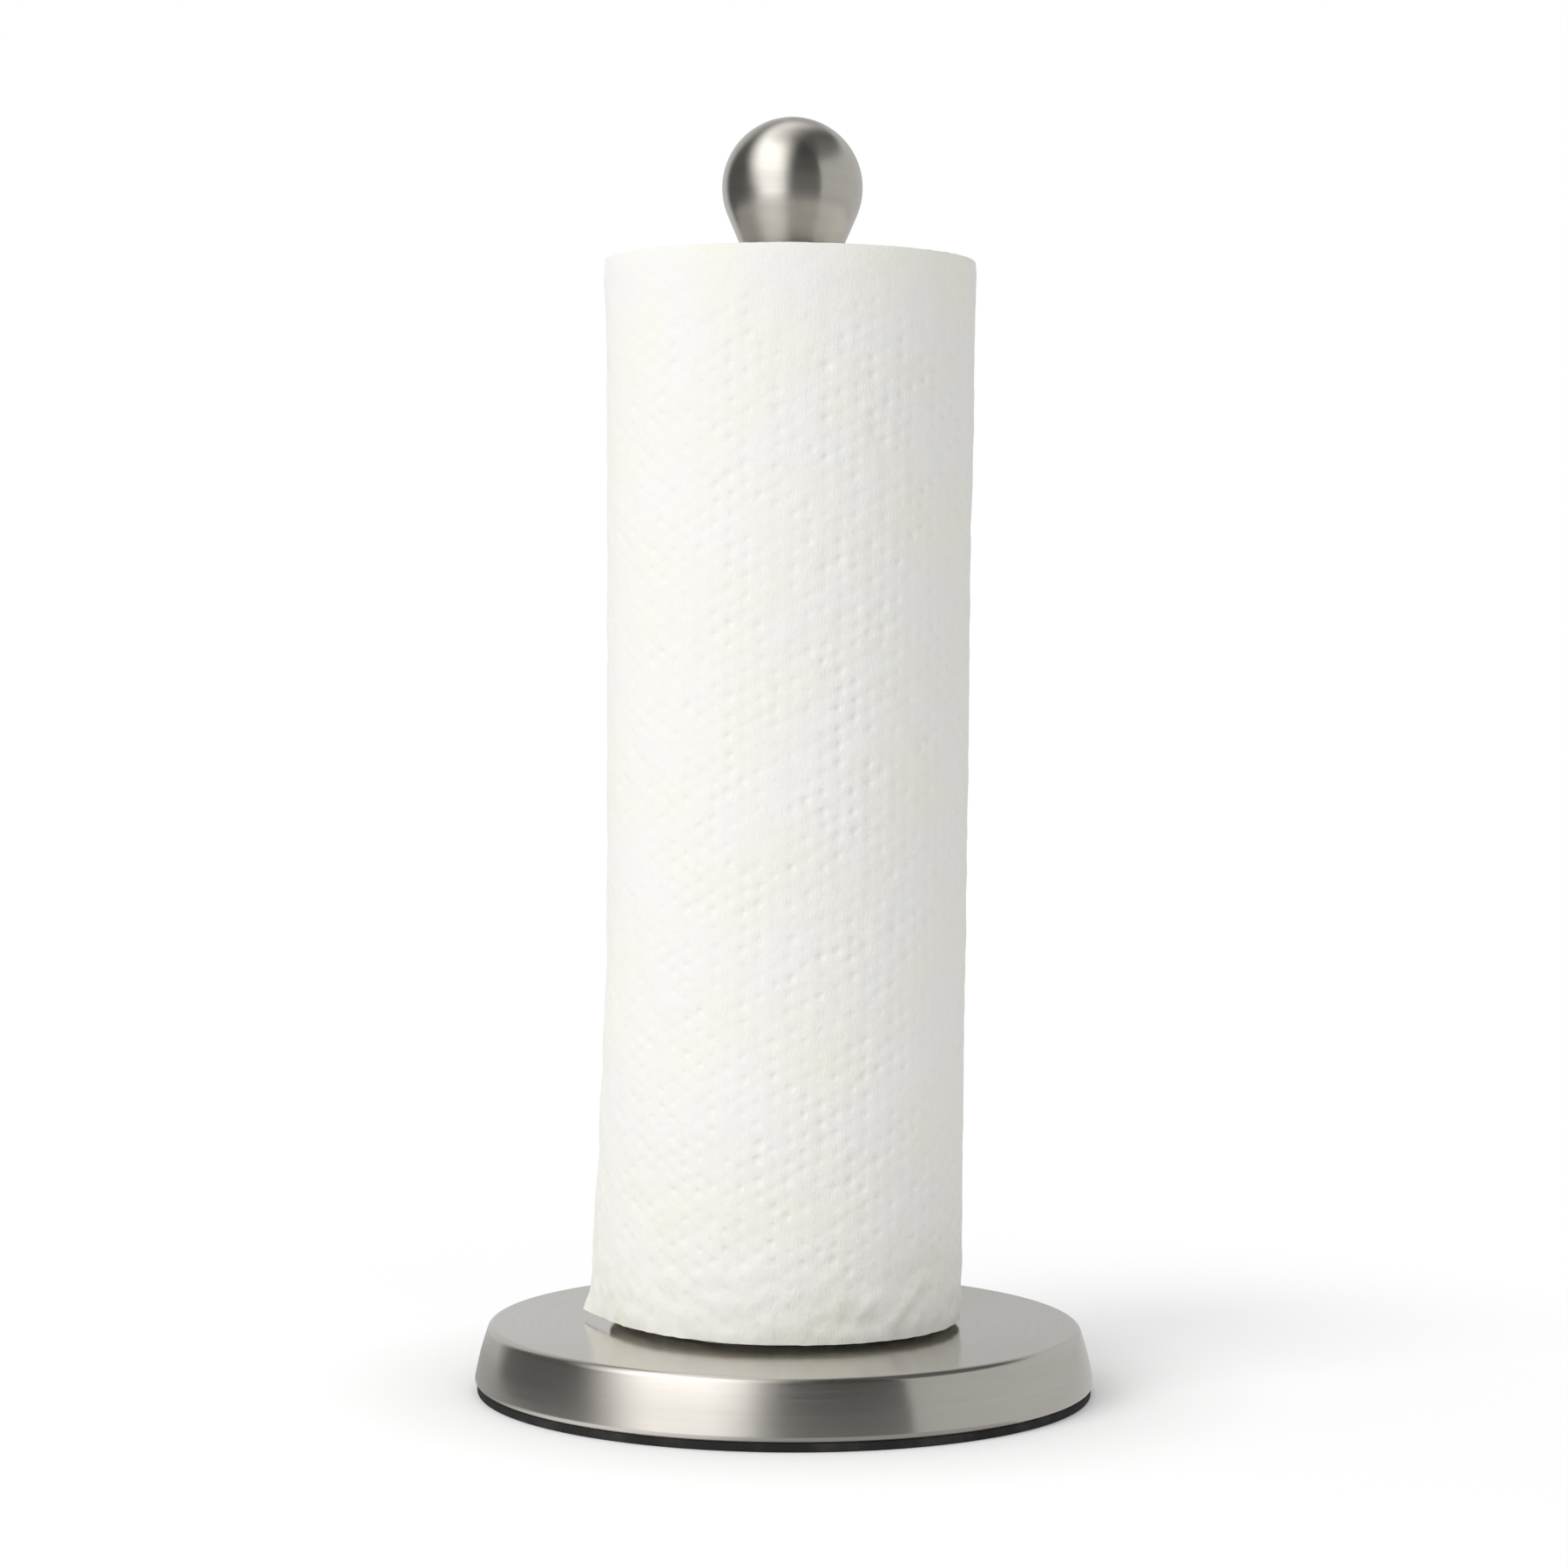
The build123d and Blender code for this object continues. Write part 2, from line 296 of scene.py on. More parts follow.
@dataclass(frozen=True)
class SatinSteel(Finish):
    """Steel brushed round the post's axis.

    The brush lines run round the piece. rake says how they climb with the radius: 0 on an upright wall, and
    -1 where lines on a flat top follow those on the wall below it. Part of the steel mirrors fairly clearly.
    Fine hairs draw the rest of the reflection out across the lines, up to the heights in drawn_up_to.
    hairs_out turns them from the surface's own normal, at 0, to face straight out from the axis, at 1.
    Each spread is how much the roughness differs along lines, bands or haze.
    """

    rake: float = 0.0
    colour: Colour = (0.577, 0.549, 0.499)
    worn_colour: Colour = (0.610, 0.584, 0.539)
    worn: Point = (0.35, 0.65)
    roughness: float = 0.22
    anisotropy: float = 0.70
    brush_turn: float = 0.25
    drawn_share: float = 0.52
    drawn_roughness: float = 0.34
    drawn_up_to: Point = (1.0, 1.1)
    hair_width: float = 0.00012
    hair_depth: float = 0.00006
    hairs_out: float = 0.0
    line_width: float = 0.00028
    line_length: float = 0.8
    line_depth: float = 0.000006
    line_share: float = 0.7
    line_spread: float = 0.10
    band_width: float = 0.0016
    band_share: float = 0.6
    band_spread: float = 0.05
    haze_scale: float = 35.0
    haze_spread: float = 0.03

    def shade(self, graph: Graph) -> Signal:
        """Draws the finish.

        Args:
            graph: Where it is drawn.

        Returns:
            Its shader.
        """
        place = graph.position()
        height = graph.axis(place, "Z")
        flat = graph.vector("MULTIPLY", place, LEVEL)
        heading = graph.vector("NORMALIZE", flat)
        climb = height + self.rake * graph.length(flat)
        widths = (self.line_width, self.band_width, self.hair_width)
        lines, bands, hairs = (self._brushed(graph, heading, climb / width) for width in widths)
        haze = graph.noise(place, scale=self.haze_scale, detail=3)
        uneven = (lines - 0.5) * self.line_spread + (bands - 0.5) * self.band_spread
        uneven = uneven + (haze - 0.5) * self.haze_spread
        tone = graph.remap(bands * self.band_share + haze * (1 - self.band_share), *self.worn)
        steel = {
            "Base_Color": graph.tint(tone, self.colour, self.worn_colour),
            "Metallic": 1.0,
            "Anisotropic_Rotation": self.brush_turn,
        }
        clear = graph.principled(
            Roughness=self.roughness + uneven,
            Anisotropic=self.anisotropy,
            Normal=graph.bump(lines * self.line_share + bands * (1 - self.line_share), self.line_depth),
            **steel,
        )
        settings = {"vector_type": "NORMAL", "convert_from": "OBJECT", "convert_to": "WORLD"}
        outwards = graph.node("ShaderNodeVectorTransform", settings, {0: heading})
        ends = {0: self.hairs_out, 4: graph.bump(hairs, self.hair_depth), 5: outwards}
        facing = graph.node("ShaderNodeMix", {"data_type": "VECTOR"}, ends, 1)
        drawn = graph.principled(
            Roughness=self.drawn_roughness + uneven,
            Anisotropic=1.0,
            Normal=graph.vector("NORMALIZE", facing),
            **steel,
        )
        return graph.mix(graph.remap(height, *self.drawn_up_to, self.drawn_share, 0), clear, drawn)

    def _brushed(self, graph: Graph, heading: Signal, lines: Signal) -> Signal:
        """Noise that is drawn out round the axis.

        Args:
            graph: Where it is drawn.
            heading: Direction from the axis.
            lines: Distance across the lines, in lines.

        Returns:
            The noise.
        """
        around = graph.vector("MULTIPLY", heading, (1 / self.line_length, 1 / self.line_length, 0))
        across = graph.join(0.0, 0.0, lines)
        return graph.noise(graph.vector("ADD", around, across), detail=2, roughness=0.6)


@dataclass(frozen=True)
class TowelPaper(Finish):
    """Soft white creped paper with painted shade in its dents, yellower at its foot and paler there, painted
    light from the polished base.

    foot gives the heights between which that fades out.
    """

    colour: Colour = (0.915, 0.907, 0.876)
    painted_foot_light_colour: Colour = (0.972, 0.962, 0.924)
    warm_colour: Colour = (0.924, 0.909, 0.780)
    dent_shade_colour: Colour = (0.911, 0.902, 0.870)
    dent_shade_span: Point = (0.5, 1.0)
    foot: Point = (0.020, 0.062)
    foot_warmth: float = 0.3
    blotch_size: float = 0.022
    blotched: Point = (0.42, 0.75)
    blotch_warmth: float = 0.5
    crepe_width: float = 0.00050
    crepe_length: float = 0.0026
    crepe_share: float = 0.35
    fibre_size: float = 0.0009
    fibre_share: float = 0.30
    pucker_size: float = 0.0024
    pucker_share: float = 0.35
    relief: float = 0.00034
    roughness: Point = (0.86, 1.0)
    gloss: float = 0.2

    def shade(self, graph: Graph) -> Signal:
        """Draws the finish.

        Args:
            graph: Where it is drawn.

        Returns:
            Its shader.
        """
        flat = graph.node("ShaderNodeUVMap", {"uv_map": SHEET_MAP})
        dent = graph.node("ShaderNodeAttribute", {"attribute_name": DENT_MARK}, output="Fac")
        ridges = graph.vector("MULTIPLY", flat, (1 / self.crepe_width, 1 / self.crepe_length, 0))
        crepe = graph.noise(ridges)
        fibres = graph.noise(flat, scale=1 / self.fibre_size, detail=3, roughness=0.65)
        puckers = graph.noise(flat, scale=1 / self.pucker_size, detail=1)
        blotches = graph.noise(flat, scale=1 / self.blotch_size, detail=3)
        foot = graph.remap(graph.axis(graph.position(), "Z"), *self.foot, 1, 0)
        warmth = graph.remap(blotches, *self.blotched, 0, self.blotch_warmth)
        warmth = warmth + foot * blotches * self.foot_warmth
        # Painted light: the paper is paler at its foot, for the light that the polished base throws back on
        # it.
        paper = graph.tint(warmth, graph.tint(foot, self.colour, self.painted_foot_light_colour), self.warm_colour)
        grain = crepe * self.crepe_share + fibres * self.fibre_share + puckers * self.pucker_share
        # Painted shade: the paper is a little darker in its dents.
        return graph.principled(
            Base_Color=graph.tint(dent * graph.span(fibres, *self.dent_shade_span), paper, self.dent_shade_colour),
            Roughness=graph.span(fibres, *self.roughness),
            Specular_IOR_Level=self.gloss,
            Normal=graph.bump(grain, self.relief),
        )


@dataclass(frozen=True)
class CoreBoard(Finish):
    """Grey-brown board wound as a spiral, with a line where its strips meet."""

    colour: Colour = (0.42, 0.335, 0.25)
    pale_colour: Colour = (0.53, 0.44, 0.34)
    pale: Point = (0.3, 0.7)
    strip_pitch: float = 0.062
    seam_colour: Colour = (0.2, 0.15, 0.11)
    seam_share: float = 0.012
    seam_tint: float = 0.55
    fibre_scale: Corner = (900, 900, 300)
    fibre_depth: float = 0.3
    relief: float = 0.00012
    roughness: Point = (0.82, 0.96)
    gloss: float = 0.25

    def shade(self, graph: Graph) -> Signal:
        """Draws the finish.

        Args:
            graph: Where it is drawn.

        Returns:
            Its shader.
        """
        place = graph.position()
        strip = graph.math("FRACT", graph.axis(place, "Z") / self.strip_pitch + graph.turns(place))
        seam = graph.remap(graph.math("ABSOLUTE", strip - 0.5), 0.0, self.seam_share, 1, 0)
        fibres = graph.noise(graph.vector("MULTIPLY", place, self.fibre_scale), detail=4, roughness=0.7)
        mottle = graph.tint(graph.remap(fibres, *self.pale), self.colour, self.pale_colour)
        return graph.principled(
            Base_Color=graph.tint(seam * self.seam_tint, mottle, self.seam_colour),
            Roughness=graph.span(fibres, *self.roughness),
            Specular_IOR_Level=self.gloss,
            Normal=graph.bump(fibres * self.fibre_depth - seam, self.relief),
        )


@dataclass(frozen=True)
class FoamPad(Finish):
    """Dense black foam with fine pores."""

    colour: Colour = (0.020, 0.019, 0.019)
    dusty_colour: Colour = (0.045, 0.043, 0.041)
    dusty: Point = (0.4, 0.75)
    dust_scale: float = 90.0
    pore_size: float = 0.0006
    relief: float = 0.0002
    roughness: Point = (0.78, 0.98)
    gloss: float = 0.3

    def shade(self, graph: Graph) -> Signal:
        """Draws the finish.

        Args:
            graph: Where it is drawn.

        Returns:
            Its shader.
        """
        place = graph.position()
        sockets = {"Vector": place, "Scale": 1 / self.pore_size}
        cells = graph.node("ShaderNodeTexVoronoi", {"feature": "F1"}, sockets, "Distance")
        dust = graph.noise(place, scale=self.dust_scale, detail=4)
        return graph.principled(
            Base_Color=graph.tint(graph.remap(dust, *self.dusty), self.colour, self.dusty_colour),
            Roughness=graph.span(dust, *self.roughness),
            Specular_IOR_Level=self.gloss,
            Normal=graph.bump(cells, self.relief),
        )


@dataclass(frozen=True)
class CastIron(Finish):
    """Dark iron with the grain of its sand mould."""

    colour: Colour = (0.055, 0.054, 0.054)
    grey_colour: Colour = (0.12, 0.117, 0.113)
    grey: Point = (0.35, 0.7)
    patch_scale: float = 60.0
    patch_share: float = 0.6
    grain: float = 0.0009
    relief: float = 0.00025
    metal: float = 0.85
    roughness: Point = (0.5, 0.8)

    def shade(self, graph: Graph) -> Signal:
        """Draws the finish.

        Args:
            graph: Where it is drawn.

        Returns:
            Its shader.
        """
        place = graph.position()
        grains = graph.noise(place, scale=1 / self.grain, detail=4, roughness=0.65)
        patches = graph.noise(place, scale=self.patch_scale)
        tone = graph.remap(patches * self.patch_share + grains * (1 - self.patch_share), *self.grey)
        return graph.principled(
            Base_Color=graph.tint(tone, self.colour, self.grey_colour),
            Metallic=self.metal,
            Roughness=graph.span(grains, *self.roughness),
            Normal=graph.bump(grains, self.relief),
        )


@dataclass(frozen=True)
class ZincPlate(Finish):
    """Bright zinc with a fine spangle, and a thread on the shank of what has one.

    A pitch of 0 leaves the thread out. Only what lies nearer to the axis than reach is threaded, and the
    thread has run out at reach times run_out.
    """

    pitch: float = 0.0
    reach: float = 0.0
    run_out: float = 1.02
    colour: Colour = (0.60, 0.60, 0.575)
    blue_colour: Colour = (0.52, 0.535, 0.55)
    blue: Point = (0.3, 0.7)
    spangle_scale: float = 700.0
    spangle_depth: float = 0.05
    relief: float = 0.0004
    roughness: Point = (0.27, 0.45)

    def shade(self, graph: Graph) -> Signal:
        """Draws the finish.

        Args:
            graph: Where it is drawn.

        Returns:
            Its shader.
        """
        place = graph.position()
        spangle = graph.noise(place, scale=self.spangle_scale, detail=3)
        height = spangle * self.spangle_depth
        if self.pitch:
            rise = graph.math("FRACT", graph.axis(place, "Z") / self.pitch - graph.turns(place))
            radius = graph.length(graph.vector("MULTIPLY", place, LEVEL))
            shank = graph.remap(radius, self.reach, self.reach * self.run_out, 1, 0)
            height = height + shank * graph.math("ABSOLUTE", rise * 2 - 1)
        return graph.principled(
            Base_Color=graph.tint(graph.remap(spangle, *self.blue), self.colour, self.blue_colour),
            Metallic=1.0,
            Roughness=graph.span(spangle, *self.roughness),
            Normal=graph.bump(height, self.relief),
        )


def deselect() -> None:
    """Leaves nothing selected, so that an operator acts only on the piece in hand."""
    bpy.ops.object.select_all(action="DESELECT")


def activate(piece: bpy.types.Object) -> None:
    """Leaves one piece selected and active.

    Args:
        piece: The piece.
    """
    deselect()
    piece.select_set(True)
    bpy.context.view_layer.objects.active = piece


def arc(centre: Point, radius: float, start: float, end: float) -> list[Point]:
    """Points along an arc.

    Args:
        centre: Its centre, as distance from the axis and height.
        radius: Its radius.
        start: Angle of its first point from outwards towards up, in radians.
        end: Angle of its last point.

    Returns:
        The points, first and last included.
    """
    count = max(2, math.ceil(abs(end - start) / ARC_STEP) + 1)
    angles = np.linspace(start, end, count)
    return [(centre[0] + radius * math.cos(a), centre[1] + radius * math.sin(a)) for a in angles]


def rounded(corners: Sequence[Corner]) -> list[Point]:
    """Points along a bent line.

    Args:
        corners: Distance from the axis, height and bend radius of each corner. The ends have no bend.

    Returns:
        The points, with an arc at each bend.
    """
    points = [corners[0][:2]]
    for before, corner, after in zip(corners, corners[1:], corners[2:]):
        here = Vector(corner[:2])
        inward = (Vector(before[:2]) - here).normalized()
        onward = (Vector(after[:2]) - here).normalized()
        half = inward.angle(onward) / 2
        centre = here + (inward + onward).normalized() * corner[2] / math.sin(half)
        reach = corner[2] / math.tan(half)
        first, last = here + inward * reach - centre, here + onward * reach - centre
        start = math.atan2(first.y, first.x)
        sweep = math.remainder(math.atan2(last.y, last.x) - start, TURN)
        points += arc((centre.x, centre.y), corner[2], start, start + sweep)
    return points + [corners[-1][:2]]


def turned(name: str, outline: Sequence[Point]) -> bpy.types.Object:
    """Turns an outline about the post's axis, as on a lathe.

    Args:
        name: Name of the piece.
        outline: Points of its half section, as distance from the axis and height.

    Returns:
        The piece, with its faces outwards.
    """
    deselect()
    bpy.ops.mesh.primitive_plane_add(size=SEED_SIZE)
    piece = bpy.context.object
    piece.name = name
    bpy.ops.object.mode_set(mode="EDIT")
    bpy.ops.mesh.select_all(action="SELECT")
    bpy.ops.mesh.merge(type="CENTER")
    bpy.ops.transform.translate(value=(outline[0][0], 0, outline[0][1]))
    for (radius, height), (next_radius, next_height) in pairwise(outline):
        step = (next_radius - radius, 0, next_height - height)
        bpy.ops.mesh.extrude_vertices_move(TRANSFORM_OT_translate={"value": step})
    bpy.ops.mesh.select_all(action="SELECT")
    bpy.ops.mesh.spin(steps=TURN_STEPS, angle=TURN, center=(0, 0, 0), axis=(0, 0, 1))
    bpy.ops.mesh.select_all(action="SELECT")
    bpy.ops.mesh.remove_doubles(threshold=MERGE_DISTANCE)
    bpy.ops.mesh.normals_make_consistent(inside=False)
    bpy.ops.object.mode_set(mode="OBJECT")
    outermost = max(piece.data.polygons, key=lambda face: face.center.xy.length)
    if outermost.normal.dot(outermost.center) < 0:
        piece.data.flip_normals()
    return piece


def turned_tube(name: str, node: str, wall: float, edge: float) -> bpy.types.Object:
    """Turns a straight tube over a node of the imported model.

    Args:
        name: Name of the piece.
        node: The node that gives its ends and outer radius.
        wall: Its wall.
        edge: Bend of its four edges.

    Returns:
        The tube.
    """
    low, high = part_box(node)
    outside, inside, middle = high.x, high.x - wall, (low.z + high.z) / 2
    corners = [
        (outside, middle, 0.0),
        (outside, high.z, edge),
        (inside, high.z, edge),
        (inside, low.z, edge),
        (outside, low.z, edge),
        (outside, middle, 0.0),
    ]
    tube = turned(name, rounded(corners))
    smooth(tube)
    return tube


def finish_with(piece: bpy.types.Object, kind: str, **settings: Any) -> None:
    """Adds a modifier to a piece, applies it and shades the piece smoothly.

    Args:
        piece: The piece.
        kind: Type of the modifier.
        settings: Its properties.
    """
    activate(piece)
    modifier = piece.modifiers.new(kind.lower(), kind)
    for name, value in settings.items():
        setattr(modifier, name, value)
    bpy.ops.object.modifier_apply(modifier=modifier.name)
    smooth(piece)


def smooth(piece: bpy.types.Object, angle: float = SMOOTH_UP_TO) -> None:
    """Shades a piece smoothly, apart from edges sharper than an angle."""
    activate(piece)
    bpy.ops.object.shade_smooth_by_angle(angle=angle)


def dress(piece: bpy.types.Object, finish: Finish) -> None:
    """Gives a piece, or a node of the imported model, its finish and reports it.

    Args:
        piece: The piece or node.
        finish: Its finish.
    """
    piece.data.materials.clear()
    piece.data.materials.append(finish.material())
    triangles = sum(len(face.vertices) - 2 for face in piece.data.polygons)
    LOG.info("%s: %d triangles, %s", piece.name, triangles, finish.name)


def fit(piece: bpy.types.Object, finish: Finish, body: Body, *nodes: str) -> bpy.types.Object:
    """Dresses a new piece and sets it in the frame.

    Args:
        piece: The piece, at its place.
        finish: Its finish.
        body: The body that it rides on.
        nodes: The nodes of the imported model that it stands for.

    Returns:
        The piece.
    """
    dress(piece, finish)
    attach(piece, body.value)
    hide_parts(*nodes)
    return piece


@dataclass
class Base:
    """The weighted base: a pressed cover on a foam pad, with the weight inside."""

    rim_corner: float = 0.08235
    wall_lean: float = 0.0040
    wall_bulge: float = 0.00045
    wall_round: float = 0.060
    shoulder_bend: float = 0.0022
    rim_bend: float = 0.0014
    lip_width: float = 0.0040
    bolt_hole: float = 0.0043
    cover_wall: float = 0.0008
    pad_edge: float = 0.0004
    pad_edge_steps: int = 3
    steel: SatinSteel = SatinSteel(
        "brushed_base",
        Slot.SATIN_STEEL,
        rake=-1.0,
        roughness=0.155,
        drawn_share=0.35,
        drawn_up_to=(0.0160, 0.0179),
    )

    def build(self, nodes: dict[str, bpy.types.Object]) -> None:
        """Makes the cover and the pad and dresses the weight.

        Args:
            nodes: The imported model's nodes.
        """
        fit(self._cover(), self.steel, Body.HOLDER, "base_cover")
        pad = fit(self._pad(), FoamPad("black_foam", Slot.SOFT_PAD), Body.HOLDER, "base_pad")
        dress(nodes["base_weight"], CastIron("cast_iron", Slot.CAST_WEIGHT))

    def _cover(self) -> bpy.types.Object:
        """Turns the cover: flat top, rounded shoulder, leaning wall and a lip turned in at the rim.

        Returns:
            The cover.
        """
        low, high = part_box("base_cover")
        foot, top = low.z, high.z
        shoulder = self.rim_corner - self.wall_lean
        waist = ((shoulder + self.rim_corner) / 2 + self.wall_bulge, (foot + top) / 2)
        corners = [
            (self.bolt_hole, top, 0.0),
            (shoulder, top, self.shoulder_bend),
            (*waist, self.wall_round),
            (self.rim_corner, foot, self.rim_bend),
            (self.rim_corner - self.lip_width, foot, 0.0),
        ]
        cover = turned("pressed_cover", rounded(corners))
        finish_with(cover, "SOLIDIFY", thickness=self.cover_wall, offset=-1.0, use_even_offset=True)
        return cover

    def _pad(self) -> bpy.types.Object:
        """Cuts the pad: a disc with its edges broken.

        Returns:
            The pad.
        """
        low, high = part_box("base_pad")
        deselect()
        bpy.ops.mesh.primitive_cylinder_add(
            vertices=TURN_STEPS, radius=high.x, depth=high.z - low.z, location=(0, 0, (low.z + high.z) / 2)
        )
        pad = bpy.context.object
        pad.name = "foam_pad"
        bpy.ops.object.transform_apply(location=True)
        finish_with(pad, "BEVEL", width=self.pad_edge, segments=self.pad_edge_steps, limit_method="ANGLE")
        return pad


@dataclass
class Post:
    """The upright tube and what holds it to the base and the finial."""

    wall: float = 0.0012
    edge: float = 0.0003
    plain: tuple[str, ...] = ("lock_washer", "flat_washer", "foot_insert", "head_insert", "finial_plug")
    bolt: ZincPlate = ZincPlate("zinc_bolt", Slot.PLATED_STEEL, pitch=0.00125, reach=0.00405)
    stud: ZincPlate = ZincPlate("zinc_stud", Slot.PLATED_STEEL, pitch=0.0010, reach=0.00305)

    def build(self, nodes: dict[str, bpy.types.Object]) -> None:
        """Makes the tube and dresses the fasteners.

        Args:
            nodes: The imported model's nodes.
        """
        tube = turned_tube("upright_tube", "post_tube", self.wall, self.edge)
        fit(tube, SatinSteel("brushed_post", Slot.SATIN_STEEL), Body.HOLDER, "post_tube")
        fasteners = dict.fromkeys(self.plain, ZincPlate("zinc", Slot.PLATED_STEEL))
        for name, finish in (fasteners | {"post_bolt": self.bolt, "finial_stud": self.stud}).items():
            dress(nodes[name], finish)


@dataclass
class Finial:
    """The hollow drop on top: a ball running into a cone and a slim neck."""

    ball_radius: float = 0.0185
    cone_angle: float = math.radians(23.3)
    neck_blend: float = 0.040
    wall: float = 0.0012
    steel: SatinSteel = SatinSteel(
        "brushed_finial",
        Slot.SATIN_STEEL,
        rake=0.35,
        roughness=0.205,
        drawn_share=0.44,
        drawn_roughness=0.35,
        drawn_up_to=(0.320, 0.334),
        hairs_out=0.85,
    )

    def build(self) -> None:
        """Turns the drop, gives it its wall and dresses it."""
        low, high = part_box("finial")
        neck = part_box("post_tube")[1].x
        dome = arc((0.0, high.z - self.ball_radius), self.ball_radius, math.pi / 2, -self.cone_angle)
        side_radius, side_top = dome[-1]
        drop = (side_radius - neck) / math.tan(self.cone_angle)
        side = rounded([(*dome[-1], 0.0), (neck, side_top - drop, self.neck_blend), (neck, low.z, 0.0)])
        finial = turned("drop_finial", dome + side[1:])
        finish_with(finial, "SOLIDIFY", thickness=self.wall, offset=-1.0, use_even_offset=True)
        fit(finial, self.steel, Body.HOLDER, "finial")


@dataclass(frozen=True)
class Ripple:
    """A smooth uneven field over a flat sheet, summed from plane waves.

    depth is its usual height, and its waves are between shortest and longest. A seed fixes its form.
    """

    depth: float
    shortest: float
    longest: float
    seed: int
    waves: int = 28

    def at(self, across: np.ndarray, up: np.ndarray) -> np.ndarray:
        """Height of the field.

        Args:
            across: Distances along the sheet.
            up: Distances up the sheet.

        Returns:
            Its height at each place.
        """
        draw = np.random.default_rng(self.seed)
        total = np.zeros_like(across)
        for _ in range(self.waves):
            length = draw.uniform(self.shortest, self.longest)
            heading = draw.uniform(0, TURN)
            phase = draw.uniform(0, TURN)
            total += np.cos((across * math.cos(heading) + up * math.sin(heading)) * TURN / length + phase)
        return self.depth * total / math.sqrt(self.waves / 2)


def ease(value: np.ndarray, low: float, high: float) -> np.ndarray:
    """Eases from 0 at low to 1 at high.

    Args:
        value: What is eased.
        low: Where it starts.
        high: Where it ends, which may be below low.

    Returns:
        The eased values.
    """
    share = np.clip((value - low) / (high - low), 0, 1)
    return share * share * (3 - 2 * share)


@dataclass(frozen=True)
class Emboss:
    """Round dents pressed into paper, in staggered rows.

    Their sites are laid in hexagons that fill the sheet. The dents are uneven: they stray from their sites,
    and their sizes and depths differ. No plain point lies nearer to a dent's middle than clear radii.
    """

    pitch: float = 0.0047
    side: int = 4
    radius: float = 0.00185
    depth: float = 0.00046
    flat_share: float = 0.35
    rings: tuple[tuple[float, int], ...] = ((0.44, 5), (0.73, 7), (1.0, 8))
    clear: float = 1.2
    stray: float = 0.00050
    smallest: float = 0.70
    faintest: float = 0.20
    faint_power: float = 1.35
    seed: int = 11

    def dents(self, left: float, right: float, bottom: float, top: float) -> np.ndarray:
        """Lays out the dents in a flat rectangle.

        Args:
            left: Its left side.
            right: Its right side.
            bottom: Its bottom.
            top: Its top.

        Returns:
            One row for each dent: its distance along the sheet, its height, and its size and depth as shares
            of the greatest.
        """
        side = self.side
        reach = math.ceil((right + top) / (side * self.pitch)) + 1
        cells = range(-reach, reach + 1)
        middles = [(side * (a + 2 * b), side * (a - b)) for a in cells for b in cells]
        steps = range(-side, side + 1)
        hexagon = [(a, b) for a in steps for b in steps if abs(a + b) <= side]
        sites = {(a + middle_a, b + middle_b) for middle_a, middle_b in middles for a, b in hexagon}
        first, second = np.array(sorted(sites), float).T
        count = len(sites)
        draw = np.random.default_rng(self.seed)
        even = np.column_stack([first * self.pitch * math.sqrt(3) / 2, (second + first / 2) * self.pitch])
        places = even + draw.uniform(-self.stray, self.stray, (count, 2))
        sizes = draw.uniform(self.smallest, 1, count)
        depths = self.faintest + (1 - self.faintest) * draw.uniform(0, 1, count) ** self.faint_power
        inside = (places > (left, bottom)).all(1) & (places < (right, top)).all(1)
        return np.column_stack([places, sizes, depths])[inside]

    def points(self, dents: np.ndarray) -> tuple[np.ndarray, np.ndarray]:
        """Points that draw the dents.

        Args:
            dents: The dents, as laid out.

        Returns:
            The points, and how deep each lies as a share of the greatest depth.
        """
        offsets, shares = [(0.0, 0.0)], [1.0]
        for ring, (reach, count) in enumerate(self.rings):
            for step in range(count):
                angle = TURN * (step + ring / 2) / count
                offsets.append((reach * math.cos(angle), reach * math.sin(angle)))
                shares.append(float(ease(np.array(reach), 1.0, self.flat_share)))
        spread = dents[:, None, :2] + np.array(offsets) * (self.radius * dents[:, None, 2:3])
        return spread.reshape(-1, 2), np.outer(dents[:, 3], shares).ravel()


@dataclass
class Net:
    """A flat rectangle of paper cut into triangles, with its dents marked.

    The first points go round its edge: along the bottom, up the far side, back along the top and down.
    """

    points: np.ndarray
    dents: np.ndarray
    faces: np.ndarray

    @classmethod
    def cut(cls, edge: np.ndarray, laid: np.ndarray, emboss: Emboss, fields: Sequence[np.ndarray]) -> Net:
        """Cuts a net.

        Args:
            edge: Points round its edge, in order.
            laid: Its dents, as laid out.
            emboss: The form of a dent.
            fields: Points of the plain paper. Those in a dent are left out.

        Returns:
            The net.
        """
        tree = KDTree(len(laid))
        for index, (across, up) in enumerate(laid[:, :2]):
            tree.insert((across, up, 0), index)
        tree.balance()
        clear = emboss.radius * emboss.clear
        plain = np.array([place for place in np.concatenate(fields) if tree.find((*place, 0))[2] > clear])
        pressed, shares = emboss.points(laid)
        points = np.concatenate([edge, pressed, plain])
        dents = np.concatenate([np.zeros(len(edge)), shares, np.zeros(len(plain))])
        found = delaunay_2d_cdt([Vector(place) for place in points], [], [], 0, MERGE_NET)
        order = np.array([origin[0] for origin in found[3]])
        return cls(points, dents, order[np.array(found[2])])


def field_of_points(left: float, right: float, height: float, step: float, seed: int) -> np.ndarray:
    """Points strewn evenly, and a little unevenly placed, over a flat rectangle that starts at height 0.

    Args:
        left: Its left side.
        right: Its right side.
        height: Its height.
        step: Distance between points.
        seed: Fixes their places.

    Returns:
        One row for each point.
    """
    draw = np.random.default_rng(seed)
    columns = np.arange(left + step, right - step / 2, step)
    across, up = np.meshgrid(columns, np.arange(step, height - step / 2, step))
    places = np.column_stack([across.ravel(), up.ravel()])
    return places + draw.uniform(-STREWN * step, STREWN * step, places.shape)


